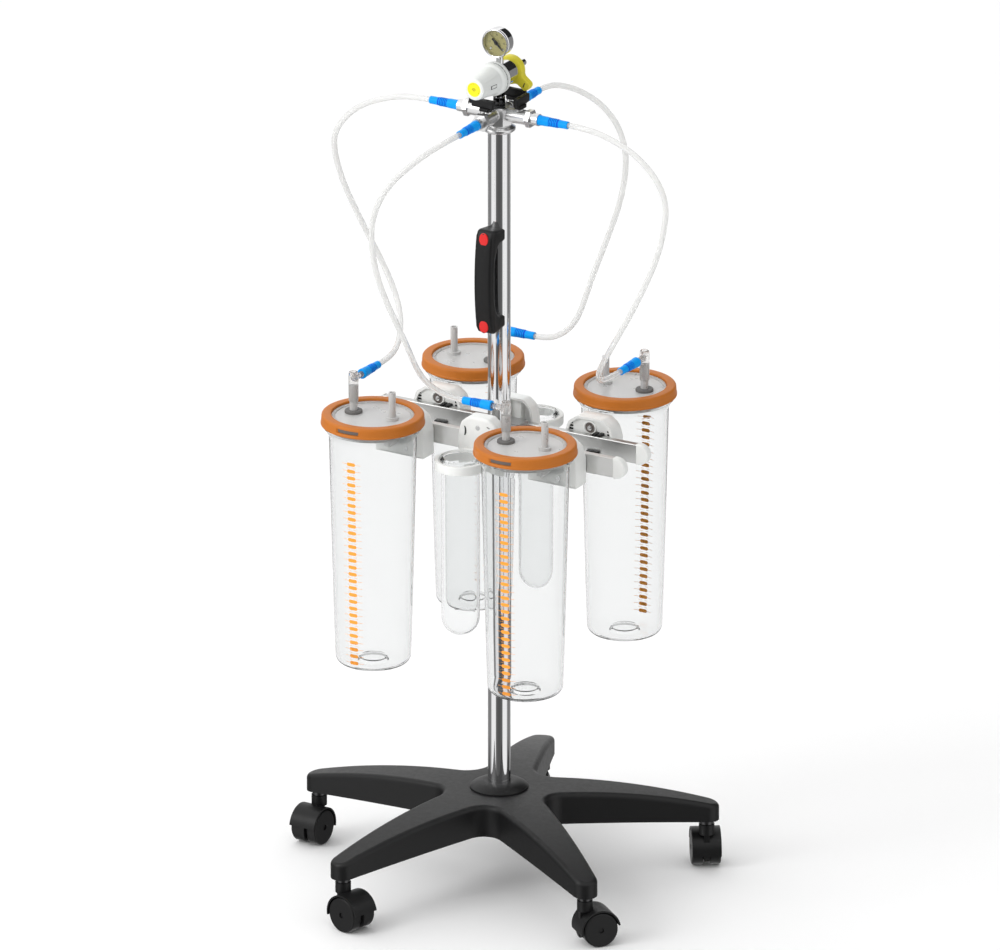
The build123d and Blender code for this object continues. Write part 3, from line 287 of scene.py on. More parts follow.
SLOT_MATERIALS = {
    "charcoal_plastic": CHARCOAL, "black_plastic": BLACK, "wheel_tyre": TYRE, "chrome_plate": CHROME,
    "zinc_steel": ZINC, "rail_steel": RAIL_STEEL, "clamp_metal": CLAMP, "white_plastic": WHITE,
    "knob_plastic": KNOB, "clear_plastic": CLEAR, "frosted_plastic": FROSTED, "orange_plastic": ORANGE,
    "gasket_rubber": GASKET, "filter_felt": FELT, "red_plastic": RED, "blue_rubber": BLUE,
    "clear_hose": HOSE, "yellow_plastic": YELLOW, "dial_paint": DIAL, "needle_paint": NEEDLE,
    "lens_clear": LENS}
# Nodes that look different from the rest of their slot.
SPECIAL_MATERIALS = {"manifold": CAST, "valve_bodies": CAST, "castor_stems": STEM_STEEL}


def dress_cad_nodes():
    for entry in frame["record"]["subparts"]:
        node = frame["nodes"][entry["node"]]
        colour = SPECIAL_MATERIALS.get(entry["node"], SLOT_MATERIALS[entry["material_slot"]])
        for slot in node.material_slots:
            slot.material = colour


# ---------------------------------------------------------------- making pieces


def finish_piece(name, mesh, colour, body=FRAME_BODY, stands_for=(), crease=35):
    mesh.materials.append(colour)
    mesh.shade_smooth()
    mesh.set_sharp_from_angle(angle=math.radians(crease))
    piece = bpy.data.objects.new(name, mesh)
    bpy.context.collection.objects.link(piece)
    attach(piece, body)
    if stands_for:
        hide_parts(*stands_for)


def rounded(points, steps=5):
    # An outline with some corners rounded: a point's third number is its corner's radius.
    line = []
    for index, point in enumerate(points):
        radius = point[2] if len(point) > 2 else 0
        corner = Vector(point[:2])
        if not radius or index in (0, len(points) - 1):
            line.append(corner)
            continue
        to_before = (Vector(points[index - 1][:2]) - corner).normalized()
        to_after = (Vector(points[index + 1][:2]) - corner).normalized()
        half = to_before.angle(to_after) / 2
        centre = corner + (to_before + to_after).normalized() * radius / math.sin(half)
        start = corner + to_before * radius / math.tan(half) - centre
        end = corner + to_after * radius / math.tan(half) - centre
        turn = start.angle_signed(end)
        for step in range(steps + 1):
            spin = Matrix.Rotation(-turn * step / steps, 2)
            line.append(centre + spin @ start)
    return line


def mesh_of(work, name):
    mesh = bpy.data.meshes.new(name)
    work.to_mesh(mesh)
    work.free()
    return mesh


def turned(outline, origin, direction=(0, 0, 1), segments=96, closed=False):
    # A lathed mesh. The outline's points are (radius, height along the direction), in millimetres.
    to_place = Matrix.Translation(origin) @ Vector(direction).to_track_quat("Z", "Y").to_matrix().to_4x4()
    work = bmesh.new()
    rings = []
    for radius, height in outline:
        if radius < 1e-4:
            rings.append([work.verts.new(to_place @ Vector((0, 0, height * MM)))])
            continue
        ring = []
        for step in range(segments):
            angle = 2 * math.pi * step / segments
            place = Vector((radius * MM * math.cos(angle), radius * MM * math.sin(angle), height * MM))
            ring.append(work.verts.new(to_place @ place))
        rings.append(ring)
    pairs = list(zip(rings, rings[1:]))
    if closed:
        pairs.append((rings[-1], rings[0]))
    for low, high in pairs:
        for step in range(segments):
            after = (step + 1) % segments
            if len(low) == 1 and len(high) == 1:
                continue
            if len(low) == 1:
                work.faces.new((low[0], high[after], high[step]))
            elif len(high) == 1:
                work.faces.new((low[step], low[after], high[0]))
            else:
                work.faces.new((low[step], low[after], high[after], high[step]))
    bmesh.ops.recalc_face_normals(work, faces=work.faces)
    return mesh_of(work, "turned")


def joined(meshes):
    # One mesh of several, keeping each one's own material slots out of it.
    work = bmesh.new()
    for mesh in meshes:
        work.from_mesh(mesh)
    return mesh_of(work, "joined")


def extruded(outline, to_place, low, high, bevel=0.0):
    # A flat outline, in millimetres, pulled from low to high along its plane's normal, with rounded rims.
    work = bmesh.new()
    ring = [work.verts.new((point[0] * MM, point[1] * MM, low * MM)) for point in outline]
    face = work.faces.new(ring)
    pulled = bmesh.ops.extrude_face_region(work, geom=[face])
    for vertex in [item for item in pulled["geom"] if isinstance(item, bmesh.types.BMVert)]:
        vertex.co.z = high * MM
    bmesh.ops.recalc_face_normals(work, faces=work.faces)
    if bevel:
        rims = [edge for edge in work.edges if abs(edge.verts[0].co.z - edge.verts[1].co.z) < 1e-7]
        bmesh.ops.bevel(work, geom=rims, offset=bevel * MM, segments=3, affect="EDGES", profile=0.5)
    bmesh.ops.transform(work, matrix=to_place, verts=work.verts)
    return mesh_of(work, "extruded")


# ---------------------------------------------------------------- hoses

HOSE_RADIUS = 4 * MM

HOSE_1_ROUTE = [
    (-110, 0, 1129), (-142, 0, 1129), (-180, 0, 1120), (-217, 1, 1105), (-248, 3, 1081), (-271, 8, 1048),
    (-274, 20, 1008), (-268, 32, 968), (-255, 42, 930), (-239, 50, 892), (-221, 55, 857), (-202, 53, 824),
    (-183, 41, 795), (-168, 17, 773), (-157, -14, 759), (-153, -46, 754), (-153, -71, 754)]
HOSE_2_ROUTE = [
    (0, -110, 1129), (0, -137, 1129), (-12, -165, 1121), (-28, -190, 1106), (-49, -209, 1083),
    (-66, -220, 1052),
    (-76, -222, 1016), (-74, -222, 978), (-67, -219, 940), (-58, -209, 903), (-50, -195, 868), (-43, -180, 834),
    (-39, -166, 803), (-34, -153, 780), (-19, -143.5, 763), (3, -139, 754), (23, -139, 754)]


def half_turn(route):
    return [(-x, -y, z) for x, y, z in route]


def make_hose(number, route):
    curve = bpy.data.curves.new("hose_" + str(number) + "_tube", "CURVE")
    curve.dimensions = "3D"
    spline = curve.splines.new("NURBS")
    spline.points.add(len(route) - 1)
    for point, place in zip(spline.points, route):
        point.co = (place[0] * MM, place[1] * MM, place[2] * MM, 1)
    spline.order_u = 3
    spline.use_endpoint_u = True
    spline.resolution_u = 12
    curve.bevel_depth = HOSE_RADIUS
    curve.bevel_resolution = 6
    curve.materials.append(HOSE)
    tube = bpy.data.objects.new(curve.name, curve)
    bpy.context.collection.objects.link(tube)
    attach(tube, FRAME_BODY)
    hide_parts("hose_" + str(number))


# ---------------------------------------------------------------- suction jars

JARS = {1: (-1, -1), 2: (1, -1), 3: (-1, 1), 4: (1, 1)}
JAR_TOP_RADIUS = 61.5
JAR_SLOPE_RADIUS = 55.0
JAR_BOTTOM_RADIUS = 52.5
JAR_SLOPE_Z = 425.0
JAR_RIM_Z = 694.5
JAR_WALL = 2.8
JAR_SHOULDER_RADIUS = 67.0
JAR_RIM_RADIUS = 69.0
TONGUE_Y = 72.0
SCALE_MARKS = 30
SCALE_PITCH = 10.2
SCALE_LOW_Z = 356.0


def jar_radius(height):
    if height < JAR_SLOPE_Z:
        low_z, high_z, low, high = 355.0, JAR_SLOPE_Z, JAR_BOTTOM_RADIUS, JAR_SLOPE_RADIUS
    else:
        low_z, high_z, low, high = JAR_SLOPE_Z, JAR_RIM_Z - 4, JAR_SLOPE_RADIUS, JAR_TOP_RADIUS
    return low + (high - low) * (height - low_z) / (high_z - low_z)


def jar_centre(number):
    low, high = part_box("jar_" + str(number))
    return Vector(((low[0] + high[0]) / 2, (low[1] + high[1]) / 2, 0))


def make_jar(number):
    low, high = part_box("jar_" + str(number))
    bottom = low[2] / MM
    rim = high[2] / MM
    outline = rounded([
        (0, bottom + 5), (17.5, bottom + 5, 2), (20.5, bottom, 2), (JAR_BOTTOM_RADIUS, bottom, 12),
        (JAR_SLOPE_RADIUS, JAR_SLOPE_Z, 30), (JAR_TOP_RADIUS - 0.3, rim - 16, 3),
        (JAR_SHOULDER_RADIUS, rim - 6, 2), (JAR_RIM_RADIUS, rim - 4, 1), (JAR_RIM_RADIUS, rim, 1),
        (JAR_TOP_RADIUS - JAR_WALL, rim, 1), (JAR_SLOPE_RADIUS - JAR_WALL, JAR_SLOPE_Z, 30),
        (JAR_BOTTOM_RADIUS - JAR_WALL, bottom + JAR_WALL, 9), (21.5, bottom + JAR_WALL, 2),
        (19, bottom + 5 + JAR_WALL, 2), (0, bottom + 5 + JAR_WALL)])
    jar = turned(outline, jar_centre(number), segments=128)
    side = JARS[number][1]
    tongue = extruded(rounded_rectangle(40, 3, 1),
                      Matrix.Translation((jar_centre(number).x, TONGUE_Y * side * MM, 0)),
                      656, rim - 3.5, 0.4)
    finish_piece("jar_" + str(number) + "_shell", joined([jar, tongue]), CLEAR,
                 stands_for=["jar_" + str(number)])


def rounded_rectangle(width, height, radius):
    half_w, half_h = width / 2, height / 2
    corners = [(0, -half_h), (half_w, -half_h, radius), (half_w, half_h, radius), (-half_w, half_h, radius),
               (-half_w, -half_h, radius), (0, -half_h)]
    return rounded(corners)[:-1]


def wrapped_strip(work, centre, facing, columns, height, lift=0.2):
    # A strip of skin on the jar's wall. Each column is (place along the wall, half height), in millimetres.
    pairs = []
    for along, half in columns:
        ends = []
        for z in (height - half, height + half):
            radius = jar_radius(z) + lift
            angle = facing + along / radius
            place = Vector((radius * math.cos(angle), radius * math.sin(angle), z))
            ends.append(work.verts.new(centre + place * MM))
        pairs.append(ends)
    for left, right in zip(pairs, pairs[1:]):
        work.faces.new((left[0], right[0], right[1], left[1]))


def pill_columns(length, half, steps=10):
    columns = []
    for step in range(steps + 1):
        along = -length / 2 + length * step / steps
        over = max(0.0, abs(along) - (length / 2 - half))
        columns.append((along, max(0.15, math.sqrt(max(0.0, half * half - over * over)))))
    return columns


def make_scale(number):
    # The printed filling scale: a pill at each mark, ticks beside it and a short tick half way to the next.
    centre = jar_centre(number)
    facing = math.radians(-90 if JARS[number][1] < 0 else 90)
    work = bmesh.new()
    for mark in range(SCALE_MARKS):
        height = SCALE_LOW_Z + SCALE_PITCH * mark
        wrapped_strip(work, centre, facing, pill_columns(14, 2.6), height)
        for side in (-1, 1):
            wrapped_strip(work, centre, facing, [(side * along, 0.25) for along in (7.4, 9.5, 12, 14.5)],
                          height)
            if mark < SCALE_MARKS - 1:
                between = height + SCALE_PITCH / 2
                wrapped_strip(work, centre, facing, [(side * along, 0.2) for along in (2.5, 5, 7.5)], between)
    finish_piece("jar_" + str(number) + "_scale", mesh_of(work, "scale"), PRINT)


# ---------------------------------------------------------------- hose connectors

CONNECTOR_LENGTH = 46.0
WAYS = {"left": (-1, 0, 0), "front": (0, -1, 0), "back": (0, 1, 0), "right": (1, 0, 0)}
ELBOW_WAYS = {1: (0, 1, 0), 2: (-1, 0, 0), 3: (1, 0, 0), 4: (0, -1, 0)}
VALVE_CONNECTOR_START = 64.0
ELBOW_CONNECTOR_START = 22.0
MANIFOLD_Z = 1129.0
MANIFOLD_SEAT = 10.5
BARB_Z = 754.0


def connector_outline():
    # A tapered sleeve with a ribbed waist and an open end that the hose goes into.
    points = [(4.3, 0), (7.2, 0, 0.6), (7.25, 3, 0.4), (6.9, 3.6), (6.75, 14), (6.45, 17, 0.5)]
    for rib in range(5):
        start = 18 + rib * 2.6
        points += [(5.6, start), (6.35, start + 0.3, 0.2), (6.3, start + 1.5, 0.2), (5.6, start + 1.8)]
    points += [(5.9, 32.4, 0.4), (5.6, 34), (5.5, CONNECTOR_LENGTH - 0.6, 0.4), (5.1, CONNECTOR_LENGTH, 0.3),
               (4.05, CONNECTOR_LENGTH)]
    return rounded(points, steps=3)


def make_connector(name, start, way):
    outline = connector_outline()
    sleeve = turned(outline, start, way, segments=64)
    sleeve.materials.append(BLUE)
    sleeve.materials.append(BLUE_GROOVE_SHADE)
    # Faces in the grooves of the ribbed waist take the darker blue: painted shade.
    for face in sleeve.polygons:
        offset = Vector(face.center) - Vector(start)
        along = offset.dot(Vector(way))
        across = (offset - along * Vector(way)).length
        if 17.3 * MM < along < 32.4 * MM and across < 6.1 * MM:
            face.material_index = 1
    sleeve.shade_smooth()
    sleeve.set_sharp_from_angle(angle=math.radians(40))
    piece = bpy.data.objects.new(name, sleeve)
    bpy.context.collection.objects.link(piece)
    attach(piece, FRAME_BODY)
    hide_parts("hose_connectors")


def port_place(number):
    side = JARS[number][1]
    return jar_centre(number) + Vector((side * 31 * MM, 0, 0))


def make_connectors():
    for name, way in WAYS.items():
        start = Vector(way) * VALVE_CONNECTOR_START * MM + Vector((0, 0, MANIFOLD_Z * MM))
        make_connector("connector_valve_" + name, start, way)
    for number, way in ELBOW_WAYS.items():
        start = port_place(number) + Vector(way) * ELBOW_CONNECTOR_START * MM + Vector((0, 0, BARB_Z * MM))
        make_connector("connector_jar_" + str(number), start, way)


# ---------------------------------------------------------------- lids' rings and elbows

LID_TOP_Z = 706.0


def make_ring(number):
    centre = jar_centre(number)
    side = JARS[number][1]
    base = JAR_RIM_Z
    outline = rounded([(63, base), (72.5, base, 0.8), (72.5, base + 2.6, 0.8), (72, base + 3.4),
                       (71.9, base + 4.6),
                       (71.88, base + 4.9), (71.5, base + 10), (71.48, base + 10.3), (71.2, base + 15, 3.2),
                       (58.5, base + 15, 0.8), (57.5, base + 13.5, 0.6), (57.5, LID_TOP_Z + 0.1),
                       (63, LID_TOP_Z)])
    ring = turned(outline, centre, segments=144, closed=True)
    low, high = (base + 4.8) * MM, (base + 10.1) * MM
    for vertex in ring.vertices:
        across = Vector((vertex.co.x - centre.x, vertex.co.y - centre.y))
        if low < vertex.co.z < high and across.length > 70 * MM and across.y * side > 0:
            if abs(across.x) < 18.5 * MM:
                pulled = across * (1 - 2.6 * MM / across.length)
                vertex.co.x, vertex.co.y = centre.x + pulled.x, centre.y + pulled.y
    finish_piece("ring_" + str(number), ring, ORANGE, stands_for=["lid_rings"])
    # A dark strip inside the ring's slot is painted shade.
    work = bmesh.new()
    columns = []
    for step in range(13):
        angle = math.radians(90 * side - 14.0 + 28.0 * step / 12)
        across = Vector((math.cos(angle), math.sin(angle), 0)) * 69.9
        half = 2.6 if 0 < step < 12 else 1.6
        heights = (base + 7.5 - half, base + 7.5 + half)
        columns.append([work.verts.new(centre + (across + Vector((0, 0, z))) * MM) for z in heights])
    for left, right in zip(columns, columns[1:]):
        work.faces.new((left[0], right[0], right[1], left[1]))
    finish_piece("ring_" + str(number) + "_slot", mesh_of(work, "slot"), PAINTED_SLOT_SHADE)
    # A lighter raised ring round the lid's edge: its colour is a painted highlight.
    rim = rounded([(52.6, LID_TOP_Z - 1.3), (53.2, LID_TOP_Z + 0.2, 0.4), (56.6, LID_TOP_Z + 0.6, 0.5),
                   (57.2, LID_TOP_Z - 0.6), (57.2, LID_TOP_Z - 1.3)])
    finish_piece("lid_" + str(number) + "_rim", turned(rim, centre), LID_RIM_HIGHLIGHT)


def make_elbow(number):
    # A clear sleeve over the lid's tube, with a barbed outlet that the connector is pushed on.
    place = port_place(number)
    sleeve = rounded([(5.6, 721), (6.4, 721, 0.3), (6.7, 722.5), (7.0, 733, 0.5), (7.0, 757, 1),
                      (6.3, 764.2, 1.5), (4.4, 765, 0.4), (3.6, 763.2), (3.4, 756), (0, 756)])
    barb = [(0, 5)]
    for step in range(4):
        start = 6.5 + 4.6 * step
        barb += [(3.3, start), (4.25, start + 0.8, 0.2), (3.5, start + 4.2)]
    barb += [(3.2, 26), (2.4, 26)]
    outlet = turned(rounded(barb), place + Vector((0, 0, BARB_Z * MM)), ELBOW_WAYS[number], segments=40)
    body = turned(sleeve, place, segments=48)
    boss = turned(rounded([(0, 4), (4.9, 4), (4.9, 8.2, 0.6), (3.2, 9)]), place + Vector((0, 0, BARB_Z * MM)),
                  ELBOW_WAYS[number], segments=40)
    finish_piece("elbow_" + str(number), joined([body, outlet, boss]), ELBOW,
                 stands_for=["port_elbows"])


# ---------------------------------------------------------------- handle


def make_handle():
    low_box, high_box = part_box("handle")
    low, top = low_box[2] / MM, high_box[2] / MM
    middle, half = (low + top) / 2, (top - low) / 2
    front, back = [], []
    for step in range(-12, 13):
        share = step / 12
        front.append((-42.2 - 5.6 * (1 - share * share), middle + share * (half - 9)))
        back.append((-25.5 - 8.8 * (1 - share ** 4), middle + share * (half - 27)))
    outline = [(-5, low + 4), (-36.5, low, 6), *front, (-36.5, top, 6), (-5, top - 4), (-5, top - 21),
               (-14, top - 23), (-20, top - 23.5, 4), *reversed(back), (-20, low + 23.5, 4), (-14, low + 23),
               (-5, low + 21), (-5, low + 4)]
    sideways = Matrix(((0, 0, 1), (1, 0, 0), (0, 1, 0))).to_4x4()
    grip = extruded(rounded(outline)[:-1], sideways, -14, 14, 4.5)
    finish_piece("handle_grip", grip, CHARCOAL, stands_for=["handle"], crease=50)
    caps = []
    for height in (low + 12, top - 12.5):
        oval = [(7 * math.cos(math.radians(a)), 9.5 * math.sin(math.radians(a))) for a in range(0, 360, 10)]
        place = Matrix.Translation((0, -41.5 * MM, height * MM)) @ TOWARDS_FRONT
        caps.append(extruded(oval, place, 0, 2.4, 0.8))
    finish_piece("handle_oval_caps", joined(caps), RED, stands_for=["handle_caps"])
    # Flat dark sheets on the red caps stand in for their notches: painted shade.
    notches = []
    for height in (low + 12, top - 12.5):
        place = Matrix.Translation((0, -43.9 * MM,
                                    (height + (8.4 if height > middle else -8.4)) * MM)) @ TOWARDS_FRONT
        notches.append(extruded(rounded_rectangle(2.6, 1.2, 0.4), place, -0.3, 0.1))
    finish_piece("handle_cap_notches", joined(notches), PRINT_AND_PAINTED_SHADE)


# ---------------------------------------------------------------- brackets, holders and rail ends


def arch(half, low, top, inset=0.0):
    # Upright sides and an arched top, seen from the front. An inset outline has the same number of points.
    half, low, top = half - inset, low + inset, top - inset
    points = [(0, low), (half, low, 2.5), (half, top - 27, 14), (half * 0.86, top - 9, 14),
              (half * 0.5, top, 10),
              (0, top + 0.4), (-half * 0.5, top, 10), (-half * 0.86, top - 9, 14), (-half, top - 27, 14),
              (-half, low, 2.5), (0, low)]
    return rounded(points, steps=4)[:-1]


def walled(outer, inner, to_place, low, high):
    # The wall between two outlines with the same number of points, pulled from low to high.
    work = bmesh.new()
    loops = []
    for outline, height in ((outer, low), (outer, high), (inner, high), (inner, low)):
        loops.append([work.verts.new((point[0] * MM, point[1] * MM, height * MM)) for point in outline])
    for first, second in zip(loops, loops[1:] + loops[:1]):
        for index in range(len(first)):
            after = (index + 1) % len(first)
            work.faces.new((first[index], first[after], second[after], second[index]))
    bmesh.ops.recalc_face_normals(work, faces=work.faces)
    bmesh.ops.transform(work, matrix=to_place, verts=work.verts)
    return mesh_of(work, "walled")


def facing_out(x, side):
    # Local X across, local Y up, local Z away from the rails.
    turn = Matrix.Rotation(math.pi if side > 0 else 0, 4, "Z")
    return Matrix.Translation((x * MM, 0, 0)) @ turn @ TOWARDS_FRONT


BRACKET_ARCH = (39, 624, 690)
HOLDER_ARCH = (32, 625, 698)
SHELL_WALL = 3.5
CATHETER_Y = 107.0
RAIL_CAP_X = 207.0
RAIL_CAP_RADIUS = 14.8


def make_bracket(number):
    centre_x, side = jar_centre(number).x / MM, JARS[number][1]
    place = facing_out(centre_x, side)
    outer, inner = arch(*BRACKET_ARCH), arch(*BRACKET_ARCH, SHELL_WALL)
    receiver = place @ Matrix.Translation((0, 665 * MM, 0))
    parts = [extruded(outer, place, 44, 67, 3), walled(outer, inner, place, 38.2, 47),
             extruded(inner, place, 41.5, 50), extruded(rounded_rectangle(46, 40, 4), receiver, 60, 72, 2)]
    boss_place = place @ Vector((0, 675 * MM, 0))
    outward = (0, side, 0)
    parts.append(turned(rounded([(10.5, 43), (10.5, 39.6, 0.8), (8, 39.6, 0.8), (7.4, 43)]), boss_place,
                        outward, 48))
    number = str(number)
    finish_piece("bracket_" + number + "_shell", joined(parts), WHITE,
                 stands_for=["jar_brackets"])
    # Flat black sheets stand in for the slots beside the boss as painted shade; then the small clip over the
    # rail and the screws.
    dark = []
    for x in (-30, 30):
        for height in (678, 673.5, 669, 664.5):
            slot = place @ Matrix.Translation((x * MM, height * MM, 0))
            dark.append(extruded(rounded_rectangle(6 if height < 675 else 4, 2.8, 0.8), slot, 41.2, 42))
    for x in (-12, -20):
        dark.append(extruded(rounded_rectangle(6, 4.5, 1),
                             place @ Matrix.Translation((x * MM, 669 * MM, 0)), 29, 41.6, 0.5))
    finish_piece("bracket_" + number + "_slots", joined(dark), BLACK)
    # A grey disc round the boss is painted shade in its recess.
    recess = turned([(0, 41.2), (7.6, 41.2), (7.6, 42)], boss_place, outward, 40)
    finish_piece("bracket_" + number + "_recess", recess, PAINTED_SLOT_SHADE)
    steel = [turned(rounded([(0, 36.5), (1.8, 36.5, 0.4), (1.8, 39), (3.4, 39, 0.3), (3.4, 42)]),
                    boss_place, outward, 32)]
    head_place = place @ Vector((13 * MM, 635.5 * MM, 0))
    steel.append(turned(rounded([(1.2, 66.2), (1.2, 67.2), (4.0, 67.6, 0.5), (4.2, 66.5)]), head_place,
                        outward, 32))
    finish_piece("bracket_" + number + "_screws", joined(steel), ZINC,
                 stands_for=["bracket_screws"])


def make_holder(name, side):
    place = facing_out(0, side)
    outer, inner = arch(*HOLDER_ARCH), arch(*HOLDER_ARCH, 3.0)
    parts = [extruded(outer, place, 50, 60, 3.5), walled(outer, inner, place, 38.4, 52)]
    for x in (-11, 11):
        parts.append(extruded(rounded_rectangle(2, 62, 0.6),
                              place @ Matrix.Translation((x * MM, 660 * MM, 0)), 40, 51))
    middle = Vector((0, side * CATHETER_Y * MM, 0))
    ring = rounded([(30.7, 640), (36.2, 640, 1.2), (36.5, 653, 1.2), (35.3, 653.6), (31.2, 653.2, 0.5),
                    (30.7, 652)])
    parts.append(turned(ring, middle, segments=96, closed=True))
    arm = Matrix.Translation((0, side * 66 * MM, 646.5 * MM))
    parts.append(extruded(rounded_rectangle(40, 20, 4), arm, -6.5, 6.3, 1))
    finish_piece("holder_" + name, joined(parts), WHITE,
                 stands_for=["catheter_holder_" + name])
    # Flat dark sheets on the front face stand in for its slots: painted shade.
    dark = []
    curved = [(3.2 * math.sin(math.radians(a)), 7 * math.cos(math.radians(a))) for a in range(-10, 191, 20)]
    curved += [(x * 0.2 - 0.2, y * 0.72) for x, y in reversed(curved)]
    dark.append(extruded(curved, place @ Matrix.Translation((-21 * MM, 677 * MM, 0)), 59, 60.15))
    small = place @ Matrix.Translation((17 * MM, 687 * MM, 0)) @ Matrix.Rotation(math.radians(70), 4, "Z")
    dark.append(extruded(rounded_rectangle(1.2, 5, 0.5), small, 59, 60.15))
    finish_piece("holder_" + name + "_slots", joined(dark), PRINT_AND_PAINTED_SHADE)
    head = turned(rounded([(0, 60.9), (2.8, 60.9, 0.3), (3.6, 60, 0.2), (3.6, 59)]),
                  place @ Vector((0, 684 * MM, 0)), (0, side, 0), 32)
    finish_piece("holder_" + name + "_screw", head, ZINC)


def make_rail_ends():
    caps = []
    for side in (-1, 1):
        low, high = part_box("rail_front" if side < 0 else "rail_back")
        middle_y, middle_z = (low[1] + high[1]) / 2 / MM, (low[2] + high[2]) / 2 / MM
        for end in (-1, 1):
            angles = [math.radians(degrees) for degrees in range(-90, 91, 9)]
            round_end = [(RAIL_CAP_RADIUS * math.cos(a), RAIL_CAP_RADIUS * math.sin(a)) for a in angles]
            outline = [(-4, -RAIL_CAP_RADIUS), *round_end, (-4, RAIL_CAP_RADIUS)]
            place = Matrix.Translation((end * RAIL_CAP_X * MM, middle_y * MM, middle_z * MM))
            place = place @ Matrix.Rotation(0 if end > 0 else math.pi, 4, "Z") @ TOWARDS_FRONT
            caps.append(extruded(outline, place, -6, 6, 1.6))
    finish_piece("rail_caps", joined(caps), WHITE, stands_for=["rail_end_caps"])


# ---------------------------------------------------------------- regulator and gauge

knob_low, knob_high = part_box("control_knob")
REGULATOR_Z = (knob_low[2] + knob_high[2]) / 2 / MM
dial_low, dial_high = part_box("gauge_dial")
GAUGE_Z = (dial_low[2] + dial_high[2]) / 2 / MM


def scalloped(mesh, axis_point, segments, depth):
    # Every second column of a turned mesh whose axis is Y is pulled in, which gives fine serrations.
    for vertex in mesh.vertices:
        across = Vector((vertex.co.x - axis_point[0], 0, vertex.co.z - axis_point[2]))
        column = round(math.atan2(across.z, across.x) / (2 * math.pi / segments))
        if column % 2:
            pulled = across * (1 - depth * MM / max(across.length, 1e-6))
            vertex.co.x, vertex.co.z = axis_point[0] + pulled.x, axis_point[2] + pulled.z


def make_knob():
    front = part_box("control_knob")[0][1]
    origin = Vector((0, front, REGULATOR_Z * MM))
    outline = rounded([(0, 0.6), (9, 0.4), (12.5, 0, 2), (15.4, 0.8, 1.2), (15.9, 4, 1.5), (20.6, 43, 3),
                       (23.0, 47, 1.5), (23.5, 52.4, 0.4), (22.8, 52.7), (22.8, 55.6), (23.5, 55.9, 0.4),
                       (23.4, 61, 0.6), (22.7, 61.55), (5.05, 61.55)])
    body = "control_knob_body"
    finish_piece("knob_shell", turned(outline, origin, (0, 1, 0), 128), KNOB, body,
                 ["control_knob"])
    # The serrated band gets the darker copy of the knob plastic: painted shade.
    teeth = 160
    band = turned([(22.5, 52.8), (23.3, 53.0), (23.3, 55.3), (22.5, 55.5)], origin, (0, 1, 0), teeth)
    scalloped(band, origin, teeth, 0.5)
    finish_piece("knob_serration", band, KNOB_SHADE, body)
    # Dark dashes round the serrated band are painted shade between its teeth.
    dashes = []
    for step in range(56):
        spin = Matrix.Translation(origin + Vector((0, 54.2 * MM, 0)))
        spin = spin @ Matrix.Rotation(2 * math.pi * step / 56, 4, "Y")
        flat = spin @ Matrix.Translation((22.85 * MM, 0, 0)) @ Matrix.Rotation(math.radians(90), 4, "Y")
        dashes.append(extruded(rounded_rectangle(1.0, 2.2, 0.3), flat, -0.6, 0.25))
    finish_piece("knob_dashes", joined(dashes), PRINT_AND_PAINTED_SHADE, body)
    # Three flat ridges run along the taper.
    ridges = []
    for angle in (38, 158, 278):
        spin = Matrix.Translation(origin) @ Matrix.Rotation(math.radians(-angle), 4, "Y")
        place = spin @ Matrix.Translation((16.6 * MM, 8 * MM, 0)) @ Matrix.Rotation(math.radians(-7.0), 4, "Z")
        place = place @ Matrix.Translation((0, 16 * MM, 0)) @ Matrix.Rotation(math.radians(90), 4, "Y")
        ridges.append(extruded(rounded_rectangle(1.2, 34, 0.5), place, -0.8, 0.35, 0.2))
    finish_piece("knob_ridges", joined(ridges), KNOB, body)
    # The window mark on the side is a thin frame with a dark end.
    mark = Matrix.Translation(origin + Vector((18.2, 24, 0)) * MM) @ Matrix.Rotation(math.radians(-7.0), 4, "Z")
    mark = mark @ Matrix.Rotation(math.radians(90), 4, "Y")
    bars = []
    for centre, size in (((-2.2, 0), (0.6, 13)), ((2.2, 0), (0.6, 13)), ((0, 6.3), (4.9, 0.6)),
                         ((0, -5.6), (4.9, 2))):
        bars.append(extruded(rounded_rectangle(*size, 0.25),
                             mark @ Matrix.Translation((*[v * MM for v in centre], 0)), -0.6, 0.25, 0.1))
    finish_piece("knob_window_mark", joined(bars), PRINT_AND_PAINTED_SHADE, body)
    disc = turned(rounded([(0, 0.15), (10.2, 0.15, 0.1), (10.5, 0.35, 0.1), (10.5, 0.9)]), origin,
                  (0, 1, 0), 96)
    finish_piece("knob_label", disc, LABEL_YELLOW, body)
    # Generic tick marks round the label and an arrow for the turning direction.
    ticks = []
    for step in range(21):
        angle = math.radians(-30 + 12 * step)
        place = Matrix.Translation(origin) @ Matrix.Rotation(-angle, 4, "Y")
        place = place @ Matrix.Translation((8.4 * MM, 0, 0))
        length = 1.6 if step % 5 == 0 else 0.9
        ticks.append(extruded(rounded_rectangle(length, 0.35, 0.1), place @ TOWARDS_FRONT, -0.1, 0.05))
    for height, width in ((1.6, 5.0), (0.0, 7.0), (-1.6, 4.0)):
        place = Matrix.Translation(origin + Vector((0, 0, height * MM))) @ TOWARDS_FRONT
        ticks.append(extruded(rounded_rectangle(width, 0.55, 0.2), place, -0.1, 0.05))
    finish_piece("knob_label_marks", joined(ticks), PRINT_AND_PAINTED_SHADE, body)


SELECTOR_RADIUS = 20.5
SELECTOR_REACH = 38.0


def hexagon(across_flats, soft):
    reach = across_flats / math.sqrt(3)
    corners = [(reach * math.cos(math.radians(60 * k)), reach * math.sin(math.radians(60 * k)),
                soft) for k in range(7)]
    return rounded(corners)[:-1]


